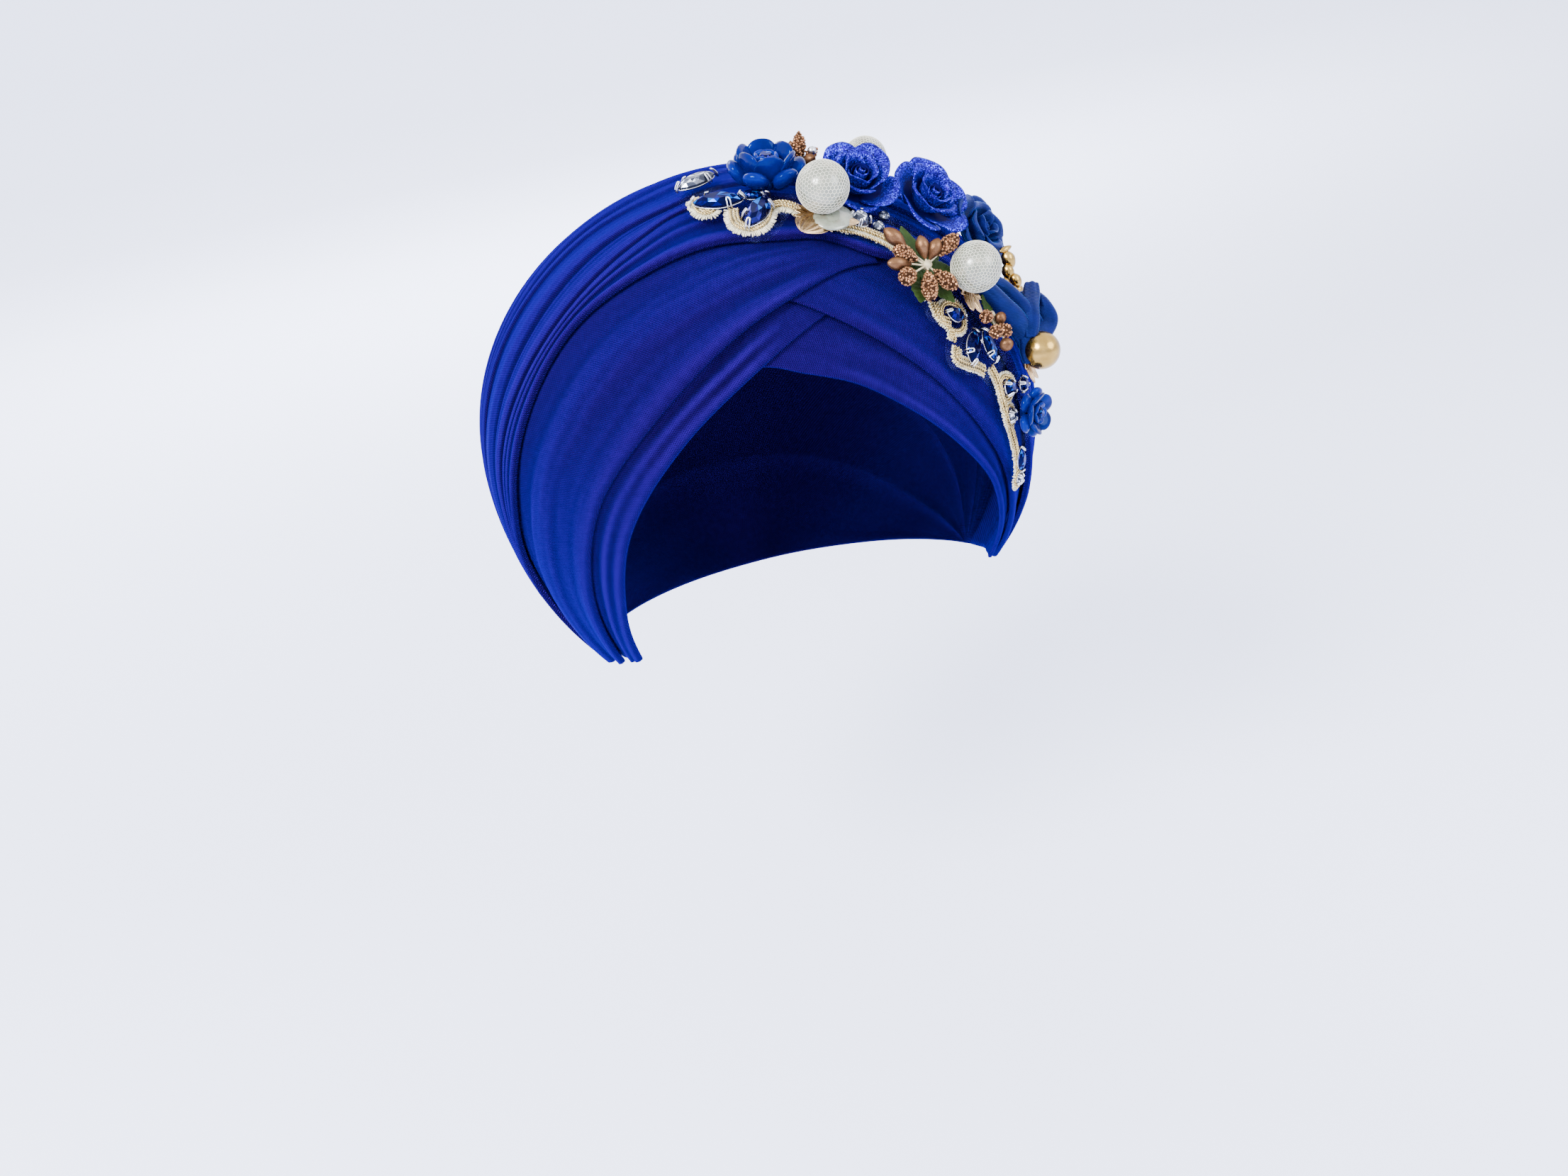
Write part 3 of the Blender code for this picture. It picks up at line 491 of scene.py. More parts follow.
# The stitched edge, as (azimuth, elevation) along each scallop
BRAID_RUNS = [
    [(-29.3, 65.2), (-27.4, 62.6), (-24.8, 59.9), (-21.8, 58.3), (-18.4, 57.7), (-15.1, 58.1), (-12.7, 59.6)],
    [(-12.7, 59.5), (-13.1, 56.9), (-12.6, 54.2), (-10.8, 52.1), (-8.3, 50.8), (-5.6, 50.0), (-2.4, 50.2),
     (1.0, 51.2), (3.9, 53.0), (6.4, 55.0), (8.4, 54.9), (9.7, 53.3)],
    [(9.7, 53.3), (11.1, 51.8), (14.1, 49.1), (17.0, 46.8), (20.0, 45.1), (22.6, 43.8), (25.0, 41.9), (26.9, 40.0),
     (28.2, 38.0), (28.7, 36.2), (28.7, 32.7), (28.8, 29.2), (29.0, 26.6)],
    [(29.6, 26.0), (29.0, 24.4), (28.7, 22.8), (29.0, 21.2), (30.1, 20.1), (31.4, 19.3)],
    [(30.6, 19.4), (29.4, 18.8), (29.3, 17.9), (30.4, 17.2)],
    [(30.0, 16.9), (28.8, 15.8), (28.1, 14.4), (28.5, 12.9), (30.0, 11.6), (31.9, 10.5), (33.8, 9.5), (35.4, 8.3)],
    [(37.4, 9.0), (38.2, 6.8), (38.5, 4.6), (38.7, 2.4), (39.1, 0.2), (39.7, -2.1), (40.7, -4.7), (41.7, -7.3),
     (42.6, -9.9), (43.4, -12.5), (44.1, -14.8), (44.4, -16.7)]]
crown_front = fold_line(*CROWN_FOLDS[0], 200)


def trim_lift(d):
    """Lift of the underside of the trim: it steps up onto the crown wrap."""
    edge, points = on_head(crown_front), on_head(d).reshape(-1, 3)
    nearest = np.clip(np.linalg.norm(points[:, None] - edge[None], axis=2).argmin(axis=1), 1, len(edge) - 2)
    across = np.cross(unit(edge[nearest]), unit(edge[nearest + 1] - edge[nearest - 1]))
    behind = ((points - edge[nearest]) * across).sum(axis=1).reshape(d.shape[:-1])
    share = np.clip(behind / TRIM_SLOPE + 1.2, 0, 1)
    return TRIM_LOW + (TRIM_HIGH - TRIM_LOW) * share * share * (3 - 2 * share)


def thin_wall(grid, thickness):
    """Points and faces of a closed thin sheet on a grid of points in mm, thin at its border."""
    normal = unit(np.cross(np.gradient(grid, axis=1), np.gradient(grid, axis=0)) + 1e-12)
    half = np.full((*grid.shape[:2], 1), thickness / 2)
    half[[1, -2], :] *= 0.75
    half[:, [1, -2]] *= 0.75
    half[[0, -1], :] = 0
    half[:, [0, -1]] = 0
    points, faces = closed_sheet(grid + half * normal, grid - half * normal)
    return points, faces.tolist()


class Form:
    """Gathers closed shapes, in mm, into one mesh in metres."""

    def __init__(self):
        self.points = []
        self.faces = []
        self.tones = []

    def add(self, shape, matrix=Matrix.Identity(4), tone=0.5):
        points, faces = shape
        matrix = np.array(matrix, float)
        start = sum(len(p) for p in self.points)
        self.points.append(np.asarray(points, float) @ matrix[:3, :3].T + matrix[:3, 3])
        self.faces += [[start + i for i in face] for face in faces]
        self.tones += list(tone) if hasattr(tone, "__len__") else [tone] * len(faces)

    def mesh(self, frame=Matrix.Identity(4), smooth=True):
        """The mesh, placed by a frame, with each face's tone kept as an attribute."""
        mesh = bpy.data.meshes.new("form")
        matrix = np.array(frame, float)
        points = np.concatenate(self.points) * MM @ matrix[:3, :3].T + matrix[:3, 3]
        mesh.from_pydata(points.tolist(), [], self.faces)
        work = bmesh.new()
        work.from_mesh(mesh)
        layer = work.faces.layers.float.new("tone")
        for face, tone in zip(work.faces, self.tones):
            face[layer] = tone
        bmesh.ops.recalc_face_normals(work, faces=work.faces)
        work.to_mesh(mesh)
        work.free()
        if smooth:
            mesh.shade_smooth()
        return mesh


def run_nodes(mesh, build, values):
    """Builds a geometry tree with named inputs, runs it once on a mesh and gives the plain mesh."""
    tree = bpy.data.node_groups.new("nodes", "GeometryNodeTree")
    tree.interface.new_socket(name="Geometry", in_out="INPUT", socket_type="NodeSocketGeometry")
    for name, value in values.items():
        kind = "Material" if isinstance(value, bpy.types.Material) else "Float"
        tree.interface.new_socket(name=name, in_out="INPUT", socket_type="NodeSocket" + kind)
    tree.interface.new_socket(name="Geometry", in_out="OUTPUT", socket_type="NodeSocketGeometry")
    graph = Graph(tree)
    group_in = tree.nodes.new("NodeGroupInput")
    inputs = {socket.name: Wire(graph, socket) for socket in group_in.outputs if socket.name}
    result = build(graph, inputs)
    whole = graph.add("GeometryNodeRealizeInstances", {}, {0: result})
    whole = graph.add("GeometryNodeSetMaterial", {}, {"Geometry": whole, "Material": inputs["Material"]})
    tree.links.new(whole.socket, tree.nodes.new("NodeGroupOutput").inputs[0])
    helper = bpy.data.objects.new("helper", mesh)
    bpy.context.scene.collection.objects.link(helper)
    modifier = helper.modifiers.new("nodes", "NODES")
    modifier.node_group = tree
    for item in tree.interface.items_tree:
        if item.in_out == "INPUT" and item.name in values:
            modifier[item.identifier] = values[item.name]
    bpy.context.view_layer.update()
    plain = bpy.data.meshes.new_from_object(helper.evaluated_get(bpy.context.evaluated_depsgraph_get()))
    bpy.data.objects.remove(helper)
    return plain


def grown_piece(name, mesh, build, values):
    """Adds the piece that a geometry tree makes of a mesh."""
    grown = run_nodes(mesh, build, values)
    grown.shade_smooth()
    add_piece(name, grown, None)


def path_mesh(runs):
    """Edges along runs of (points, side vectors, up vectors) in metres, which ride along as attributes."""
    mesh = bpy.data.meshes.new("path")
    points = np.concatenate([run[0] for run in runs])
    edges, start = [], 0
    for run in runs:
        edges += [(start + i, start + i + 1) for i in range(len(run[0]) - 1)]
        start += len(run[0])
    mesh.from_pydata(points.tolist(), edges, [])
    for name, part in (("side", 1), ("up", 2)):
        layer = mesh.attributes.new(name, "FLOAT_VECTOR", "POINT")
        layer.data.foreach_set("vector", np.concatenate([run[part] for run in runs]).astype(np.float32).reshape(-1))
    return mesh


def edge_run(stations, lift, inward):
    """Points in metres beside the trim's edge, with the vectors towards the edge and out of the head."""
    d = smooth_path([direction(*station) for station in stations], 8 * len(stations))
    points = on_head(d, trim_lift(d) + lift)
    along = unit(np.gradient(points, axis=0))
    side = unit(np.cross(d, along))
    side *= np.sign((side * [0.2, -1.0, -0.4]).sum(axis=1).mean())
    points = points - inward * side
    up = np.cross(along, side)
    return points * MM, side, unit(up) * np.sign((up * d).sum(axis=1))[:, None]


def even_curve(graph, mesh, step):
    path = graph.add("GeometryNodeMeshToCurve", {}, {0: mesh})
    return graph.add("GeometryNodeResampleCurve", {"mode": "LENGTH"}, {"Curve": path, "Length": step})


def carried(graph, name):
    """A vector that rides along with a path."""
    return graph.add("GeometryNodeInputNamedAttribute", {"data_type": "FLOAT_VECTOR"}, {"Name": name})


def drawn(graph, low, high, seed):
    """A random number, or vector, for each point."""
    if isinstance(low, tuple):
        return graph.add("FunctionNodeRandomValue", {"data_type": "FLOAT_VECTOR"}, {
            "Min": low, "Max": high, "Seed": seed})
    return graph.add("FunctionNodeRandomValue", {"data_type": "FLOAT"}, {2: low, 3: high, "Seed": seed}, 1)


def stitches(graph, inputs):
    """Long thin stitches side by side across the edge."""
    spots = graph.add("GeometryNodeCurveToPoints", {"mode": "EVALUATED"}, {
        "Curve": even_curve(graph, inputs["Geometry"], inputs["Pitch"])})
    turn = graph.add("FunctionNodeAxesToRotation", {"primary_axis": "X", "secondary_axis": "Z"}, {
        "Primary Axis": carried(graph, "side"), "Secondary Axis": carried(graph, "up")})
    tilt = graph.add("FunctionNodeEulerToRotation", {}, {0: drawn(graph, (-0.22, -0.22, -0.16), (0.22, 0.3, 0.16), 4)})
    turn = graph.add("FunctionNodeRotateRotation", {"rotation_space": "LOCAL"}, {"Rotation": turn, "Rotate By": tilt})
    thread = graph.add("GeometryNodeMeshCylinder", {"fill_type": "TRIANGLE_FAN"}, {
        "Vertices": 6, "Side Segments": 1, "Fill Segments": 1, "Radius": 0.5, "Depth": 1.0})
    thread = graph.add("GeometryNodeTransform", {}, {"Geometry": thread, "Rotation": (0.0, math.pi / 2, 0.0)})
    size = graph.add("ShaderNodeCombineXYZ", {}, {
        0: inputs["Length"] * drawn(graph, 0.85, 1.12, 9), 1: inputs["Thickness"], 2: inputs["Thickness"] * 1.25})
    return graph.add("GeometryNodeInstanceOnPoints", {}, {
        "Points": spots, "Instance": thread, "Rotation": turn, "Scale": size})


def twisted_cord(graph, inputs):
    """Two strands wound round each other along a path."""
    path = even_curve(graph, inputs["Geometry"], inputs["Twist"] * 0.125)
    length = graph.add("GeometryNodeSplineParameter", {}, {}, 1)
    ring = graph.add("GeometryNodeCurvePrimitiveCircle", {}, {"Resolution": 6, "Radius": inputs["Strand"]})
    strands = []
    for phase in (0.0, math.pi):
        turn = length / inputs["Twist"] * (2 * math.pi) + phase
        out, rise = (graph.add("ShaderNodeVectorMath", {"operation": "SCALE"}, {
            0: carried(graph, name), "Scale": angle.sine() * inputs["Strand"]})
            for name, angle in (("side", turn), ("up", turn + math.pi / 2)))
        offset = graph.add("ShaderNodeVectorMath", {"operation": "ADD"}, {0: out, 1: rise})
        strand = graph.add("GeometryNodeSetPosition", {}, {"Geometry": path, "Offset": offset})
        strands.append(graph.add("GeometryNodeCurveToMesh", {}, {
            "Curve": strand, "Profile Curve": ring, "Fill Caps": True}))
    joined = graph.add("GeometryNodeJoinGeometry", {}, {0: strands[0]})
    graph.tree.links.new(strands[1].socket, joined.socket.node.inputs[0])
    return joined


def silk(name, dark, light, metallic, rough):
    """Thread with fine fibres along it and a soft shine."""
    thread = Finish(name, {"Metallic": metallic, "Specular IOR Level": 0.35, "Sheen Weight": 0.05})
    fibre, patch = thread.noise(2600.0, 3.0), thread.noise(260.0, 2.0)
    return thread.fed({
        "Base Color": thread.ramp(fibre * 0.6 + patch * 0.4, (0.3, dark), (0.7, light)),
        "Roughness": fibre * 0.25 + rough,
        "Normal": thread.bump(0.6, 0.0001, fibre)})


cream_silk = silk("cream silk", (0.20, 0.175, 0.11), (0.84, 0.79, 0.58), 0.25, 0.24)
gilt_thread = silk("gilt thread", (0.11, 0.07, 0.020), (0.76, 0.57, 0.25), 0.9, 0.14)

film_look = Finish("clear film", {"Base Color": (0.030, 0.036, 0.12), "Specular IOR Level": 0.0})
cloudy = film_look.noise(190.0, 2.0)
film_finish = film_look.fed({
    "Normal": film_look.bump(0.15, 0.0004, film_look.cells(330.0) + cloudy),
    "Alpha": film_look.ramp(cloudy, (0.5, (0.02, 0.02, 0.02)), (0.8, (0.16, 0.16, 0.16))),
    "Roughness": cloudy * 0.3 + 0.4})

film_front, film_back = (smooth_path([direction(*station) for station in stations], FILM_COLUMNS)
                         for stations in (TRIM_FRONT, TRIM_BACK))
film_rows = np.concatenate([[0, 0.004], np.linspace(0.012, 0.985, 44), [0.995, 1]])[:, None]
film_d = turned(film_front[None], film_back[None], film_rows[..., None])
film_run = np.linspace(0, 60, FILM_COLUMNS)[None]
film_wave = 0.14 * np.sin(film_run * 2.9 + film_rows * 31) + 0.1 * np.sin(film_run * 5.3 - film_rows * 17)
film_lift = trim_lift(film_d) + FILM_LIFT + FILM_WAVE * film_wave * np.clip(film_rows * 30, 0.25, 1)
film_form = Form()
film_form.add(thin_wall(on_head(film_d, film_lift), FILM_WALL))
film = add_piece("clear_film", film_form.mesh(), film_finish, ["lace_trim"])

# Small rings of the same braid lie round four stones: azimuth, elevation and radius in degrees
BRAID_RINGS = [(34.0, 21.4, 3.2), (42.4, 4.2, 2.5), (42.2, -1.3, 2.0), (45.2, -15.2, 1.7)]


def ring_run(azimuth, elevation, radius, lift):
    """Closed round path on the trim, in the form of an edge run."""
    wide = radius / math.cos(math.radians(elevation))
    stations = [(azimuth + wide * math.cos(turn), elevation + radius * math.sin(turn))
                for turn in np.linspace(0, 2 * math.pi, 13)]
    return edge_run(stations, lift, 0.0)


# Rows of stitches: their paths, and the pitch, length and thickness of a stitch in metres
inner_runs = [edge_run(run, 0.95, 3.6) for run in BRAID_RUNS[:3] + BRAID_RUNS[5:6]]
inner_runs += [ring_run(azimuth, elevation, radius + 0.35, 0.9) for azimuth, elevation, radius in BRAID_RINGS]
STITCH_ROWS = {
    "stitched_edge": ([edge_run(run, 0.75, 1.7) for run in BRAID_RUNS[:3]], 0.00052, 0.0030, 0.0005),
    "side_stitches": ([edge_run(run, 0.75, 1.4) for run in BRAID_RUNS[3:]], 0.00052, 0.0020, 0.0005),
    "inner_stitches": (inner_runs, 0.0007, 0.0015, 0.0005),
}
for row_name, (runs, pitch, length, thickness) in STITCH_ROWS.items():
    grown_piece(row_name, path_mesh(runs), stitches, {
        "Pitch": pitch, "Length": length, "Thickness": thickness, "Material": cream_silk})
# Gilt cords: the scallops that they follow, their lift, and how far they lie inside the edge
CORDS = [(BRAID_RUNS, 1.3, 2.3), (BRAID_RUNS, 1.1, 3.5), (BRAID_RUNS[3:], 1.0, 1.2), (BRAID_RUNS[:2], 1.0, 4.5),
         (BRAID_RUNS[2:3], 1.0, 0.3)]
cord_paths = [edge_run(run, lift, reach) for runs, lift, reach in CORDS for run in runs]
cord_paths += [ring_run(*ring, 1.25) for ring in BRAID_RINGS]
cord_paths += [ring_run(azimuth, elevation, radius - 0.5, 1.1) for azimuth, elevation, radius in BRAID_RINGS[:2]]
grown_piece("gilt_cords", path_mesh(cord_paths), twisted_cord, {
    "Twist": 0.0019, "Strand": 0.00026, "Material": gilt_thread})

# shell_cap_...: fluted caps of rose gold, pressed from thin sheet, that show under three of the balls.
# They are sewn to the trim through a hole in the middle.

# Each cap: azimuth, elevation, radius in mm and spin
CAPS = {
    "shell_cap_front": (16.4, 49.8, 6.6, 0),
    "shell_cap_side": (40.4, 24.2, 4.4, 30),
    "shell_cap_ball": (50.8, 7.4, 4.4, 60),
}
# Pressed leaves that stand out from under a cap: direction, length and width
GILT_LEAVES = {
    "shell_cap_front": [(-152, 12.5, 10.5), (-48, 11.5, 6.5)],
    "shell_cap_side": [(-140, 9.5, 4.6), (-112, 9.0, 4.2)],
    "shell_cap_ball": [(-110, 8.5, 4.2), (-75, 8.0, 4.0)],
}
LEAF_WALL = 0.35
# Gap in mm between an ornament and the highest spot of the trim under it
SEAT_GAP = 0.35


def normal_at(point):
    depth = FRONT if point[1] < 0 else BACK
    height = BELOW if point[2] < 0 else CROWN
    return unit(np.array([point[0] / HALF_WIDTH ** 2, point[1] / depth ** 2, point[2] / height ** 2]))


def seat(azimuth, elevation, reach, spin=0.0, rise=0.0, lean=0.0, lean_to=-145.0):
    """Frame of an ornament that rests on the trim: Z out of the head, X to the wearer's left."""
    point = on_head(direction(azimuth, elevation))
    z = normal_at(point)
    x = unit(np.cross([0, 0, 1.0], z))
    y = np.cross(z, x)
    spots = [point]
    for ring in (0.55, 1.0):
        for k in range(12):
            turn = math.radians(30 * k)
            spots.append(point + ring * reach * (math.cos(turn) * x + math.sin(turn) * y))
    under = unit(np.array(spots))
    heights = (on_head(under, trim_lift(under) + TRIM_WALL) - point) @ z
    centre = point + (float(heights.max()) + SEAT_GAP + rise + reach * math.sin(math.radians(lean))) * z
    axes = np.stack([x, y, z], axis=1).tolist()
    frame = Matrix.Translation(Vector(centre) * MM) @ Matrix([[*row, 0] for row in axes] + [[0, 0, 0, 1]])
    tip_axis = Vector((-math.sin(math.radians(lean_to)), math.cos(math.radians(lean_to)), 0))
    return frame @ Matrix.Rotation(math.radians(lean), 4, tip_axis) @ Matrix.Rotation(math.radians(spin), 4, "Z")


def posed(turn, pitch, at=(0, 0, 0)):
    """Pitched up, turned about Z and moved, in mm."""
    return (Matrix.Translation(at) @ Matrix.Rotation(math.radians(turn), 4, "Z")
            @ Matrix.Rotation(-math.radians(pitch), 4, "Y"))


def lathe(rows, segments, lobes=0, phase=0.0):
    """Round closed shape from (radius, height, lobe depth) rows that start and end on the axis."""
    points, rings = [], []
    for radius, height, depth in rows:
        if radius == 0:
            rings.append([len(points)])
            points.append((0, 0, height))
            continue
        rings.append(list(range(len(points), len(points) + segments)))
        for k in range(segments):
            turn = 2 * math.pi * k / segments
            reach = radius * (1 + depth * math.cos(lobes * turn + phase))
            points.append((reach * math.cos(turn), reach * math.sin(turn), height))
    faces = []
    for a, b in zip(rings, rings[1:]):
        for k in range(segments):
            after = (k + 1) % segments
            if len(a) == 1:
                faces.append([a[0], b[k], b[after]])
            elif len(b) == 1:
                faces.append([a[k], a[after], b[0]])
            else:
                faces.append([a[k], a[after], b[after], b[k]])
    return points, faces


def metal(name, dark, light, rough):
    """Metal with soft patches of tarnish and small dents."""
    sheet = Finish(name, {"Metallic": 1.0})
    patch, scratch = sheet.noise(420.0, 3.0), sheet.noise(2600.0, 2.0)
    return sheet.fed({
        "Base Color": sheet.ramp(patch * 0.4 + sheet.stored("tone") * 0.4 + 0.12, (0.3, dark), (0.65, light)),
        "Roughness": patch * 0.2 + scratch * 0.12 + rough,
        "Normal": sheet.bump(0.5, 0.0001, patch + scratch * 0.3)})


def blade(width, rows, columns, power, blunt):
    """Shares along and across a pointed leaf's grid, and half its width at each row."""
    run = np.linspace(0, 1, rows)[:, None]
    half = width / 2 * np.sin(math.pi * np.clip(run, 0.02, 0.985) ** power) ** blunt
    return run, np.linspace(-1, 1, columns)[None], half


def gilt_leaf(length, width):
    """Grid of a pressed leaf along X, with ridges that run its whole length."""
    run, side, half = blade(width, 26, 41, 0.75, 0.7)
    full = half / width * 2
    height = 0.22 * np.cos(side * 6 * math.pi) * full + 0.5 - 0.9 * full * side ** 2
    return np.stack([run * length + 0 * side, side * half, height], axis=2)


# Section of a cap: distance from the middle and depth of the flutes as shares, with the height in mm
CAP_SECTION = [(0.3, 0.02, 0.01), (0.55, 0.1, 0.05), (0.8, 0.35, 0.09), (1.02, 0.95, 0.13), (1.06, 1.25, 0.14),
               (1.03, 1.45, 0.14), (0.97, 1.35, 0.13), (0.8, 0.75, 0.1), (0.55, 0.45, 0.05), (0.3, 0.35, 0.01)]
rose_gold = metal("rose gold sheet", (0.16, 0.085, 0.032), (0.70, 0.48, 0.26), 0.12)
for cap_name, (azimuth, elevation, reach, spin) in CAPS.items():
    cap = Form()
    flutes = 18 if reach > 5 else 12
    section = [(out * reach, height, depth) for out, height, depth in CAP_SECTION]
    cap.add(lathe([(0, 0, 0)] + section + [(0, 0.33, 0)], flutes * 8, flutes))
    for turn, length, width in GILT_LEAVES[cap_name]:
        cap.add(thin_wall(gilt_leaf(length, width), LEAF_WALL), posed(turn - spin, 6, (0, 0, 0.9)))
    add_piece(cap_name + "_fluted", cap.mesh(seat(azimuth, elevation, reach, spin)), rose_gold, [cap_name])

# pearl_...: large cream pearls, each in a fine white net with six-sided holes.
# The net is drawn tight under the pearl and sewn through the trim there.

# Each ball: azimuth, elevation, radius and height above the trim
BALLS = {
    "pearl_front": (17.6, 51.6, 7.6, 1.2),
    "pearl_back": (54.4, 56.4, 6.5, 0.1),
    "pearl_side": (38.6, 26.4, 7.4, 1.5),
}
NET_THREAD = 0.17
NET_GAP = 0.08
BEAD_GAP = 0.05


def ball(radius, segments=56, rings=36):
    rows = [(radius * math.sin(math.pi * k / rings), radius * (1 - math.cos(math.pi * k / rings)), 0)
            for k in range(1, rings)]
    return lathe([(0, 0, 0)] + rows + [(0, 2 * radius, 0)], segments)


def honeycomb_net(graph, inputs):
    """Threads along the sides of the six-sided cells of a ball."""
    cells = graph.add("GeometryNodeDualMesh", {}, {0: inputs["Geometry"]})
    threads = graph.add("GeometryNodeMeshToCurve", {}, {0: cells})
    ring = graph.add("GeometryNodeCurvePrimitiveCircle", {}, {"Resolution": 4, "Radius": inputs["Thread"]})
    return graph.add("GeometryNodeCurveToMesh", {}, {"Curve": threads, "Profile Curve": ring, "Fill Caps": True})


pearl_look = Finish("cream pearl", {"Specular IOR Level": 0.8, "Coat Weight": 0.8, "Coat Roughness": 0.1})
cloud = pearl_look.noise(240.0, 3.0)
pearl_finish = pearl_look.fed({
    "Base Color": pearl_look.ramp(cloud, (0.3, (0.095, 0.082, 0.05)), (0.5, (0.135, 0.150, 0.108)),
                                  (0.75, (0.26, 0.24, 0.18))),
    "Roughness": cloud * 0.2 + 0.18,
    "Normal": pearl_look.bump(0.3, 0.0002, cloud)})
net_silk = silk("white net", (0.44, 0.42, 0.32), (0.74, 0.72, 0.60), 0.0, 0.35)

for ball_name, (azimuth, elevation, radius, rise) in BALLS.items():
    ball_frame = seat(azimuth, elevation, 1.0, 0, rise)
    pearl = Form()
    pearl.add(ball(radius - BEAD_GAP))
    add_piece(ball_name + "_bead", pearl.mesh(ball_frame), pearl_finish, [ball_name])
    cells = bmesh.new()
    bmesh.ops.create_icosphere(cells, subdivisions=4, radius=(radius + NET_GAP) * MM)
    cells.transform(ball_frame @ Matrix.Translation((0, 0, radius * MM)))
    cell_mesh = bpy.data.meshes.new("cells")
    cells.to_mesh(cell_mesh)
    cells.free()
    grown_piece(ball_name + "_net", cell_mesh, honeycomb_net, {
        "Thread": NET_THREAD / 2 * MM, "Material": net_silk})

# shell_belly: a flat drop of shell in the cap under the front pearl, glued down on its back.
# It has the same cream sheen as the pearls.
belly = Form()
belly_rows = [(6.0 * math.sin(t), 1.2 - 1.2 * math.cos(t), 0) for t in np.linspace(0.3, 2.85, 9)]
belly.add(lathe([(0, 0, 0)] + belly_rows + [(0, 2.4, 0)], 30),
          Matrix.Translation((2.2, -3.0, 0.75)) @ Matrix.Rotation(0.3, 4, "Z") @ Matrix.Diagonal((1.12, 0.9, 1, 1)))
add_piece("shell_belly", belly.mesh(seat(*CAPS["shell_cap_front"])), pearl_finish)

# gold_ball: a hollow ball of polished gold beside the lower cap, the last large bead of the trim.
# It is pressed from two halves and sewn down through the holes at its poles.
polished_gold = metal("polished gold", (0.20, 0.11, 0.022), (0.44, 0.28, 0.075), 0.07)
gold_ball = Form()
gold_ball.add(ball(5.8))
add_piece("gold_ball_polished", gold_ball.mesh(seat(48.6, 8.4, 1.0, 0, 1.6)), polished_gold, ["gold_ball"])

# stone_..., rhinestone and crystal_bead_...: glass stones with a flat back, cut in facets.
# The stones and the rhinestone each sit in a sew-on setting of silver wire: a rim round the girdle and hairpin claws
# over the crown. The crystal beads have none.

# Each stone: azimuth, elevation, length, width, spin, height above the trim and glass
STONES = {
    "stone_crown_clear": (-24.5, 72.1, 12.5, 6.0, 34, 0, "crystal"),
    "stone_crown_right": (-13.5, 61.6, 15.0, 6.4, -11, 0, "sapphire"),
    "stone_crown_left": (-1.0, 55.5, 15.0, 6.8, 49, 0, "sapphire"),
    "stone_crown_back": (0.6, 61.6, 7.0, 4.0, -30, 0, "sapphire"),
    "stone_side_oval": (34.0, 21.4, 6.4, 4.6, -34, 0.4, "sapphire"),
    "stone_side_front": (34.7, 14.6, 10.6, 5.2, 49, 0, "sapphire"),
    "stone_side_back": (39.4, 13.4, 9.4, 4.6, 87, -0.9, "sapphire"),
    "stone_temple_round": (42.4, 4.2, 4.8, 4.8, 0, 0, "sapphire"),
    "stone_temple_drop": (46.2, 3.6, 4.6, 4.0, 20, 0, "sapphire"),
    "stone_temple_clear": (42.2, -1.3, 3.6, 3.6, 0, 0, "crystal"),
    "stone_ear": (45.2, -11.2, 7.2, 4.0, 88, 0, "sapphire"),
    "stone_ear_clear": (45.2, -15.2, 3.2, 3.2, 0, 0, "crystal"),
    "rhinestone": (26.6, 46.0, 6.0, 6.0, 0, 0, "crystal"),
    "crystal_bead_front": (30.4, 43.2, 4.0, 3.4, 0, 0, "crystal"),
    "crystal_bead_back": (36.0, 45.0, 4.0, 3.4, 0, 0, "crystal"),
}
CLAW_WIRE = 0.27
# A stone is cut pointed when it is this many times longer than wide
POINTED = 1.3


def circle(count, wide=1.0, deep=1.0):
    """Points of a circle or an oval."""
    turns = 2 * math.pi * np.arange(count) / count
    return np.stack([wide * np.cos(turns), deep * np.sin(turns)], axis=1)


def pointed_oval(length, width, count):
    """Outline with a point at each end."""
    points = []
    for x, y in circle(count):
        side = math.copysign((1 - abs(x) ** 1.9) ** 0.8, y) if abs(x) < 0.9999 else 0.0
        points.append((length / 2 * x, width / 2 * side))
    return np.array(points)


def tube(path, radius, sides=6):
    """Closed round wire along points, its radius one number or one for each point."""
    path = np.asarray(path, float)
    along = unit(np.gradient(path, axis=0) + 1e-9)
    reach = np.broadcast_to(radius, len(path))
    side = unit(np.cross(along[0], [0.31, 0.22, 0.92]))
    rings = []
    for point, ahead, size in zip(path, along, reach):
        side = unit(side - (side @ ahead) * ahead)
        up = np.cross(ahead, side)
        for k in range(sides):
            turn = 2 * math.pi * k / sides
            rings.append(point + size * (math.cos(turn) * side + math.sin(turn) * up))
    faces = [[(i + j) * sides + (k + m) % sides for j, m in ((0, 0), (0, 1), (1, 1), (1, 0))]
             for i in range(len(path) - 1) for k in range(sides)]
    faces += [list(range(sides)), list(range((len(path) - 1) * sides, len(path) * sides))]
    return np.array(rings), faces


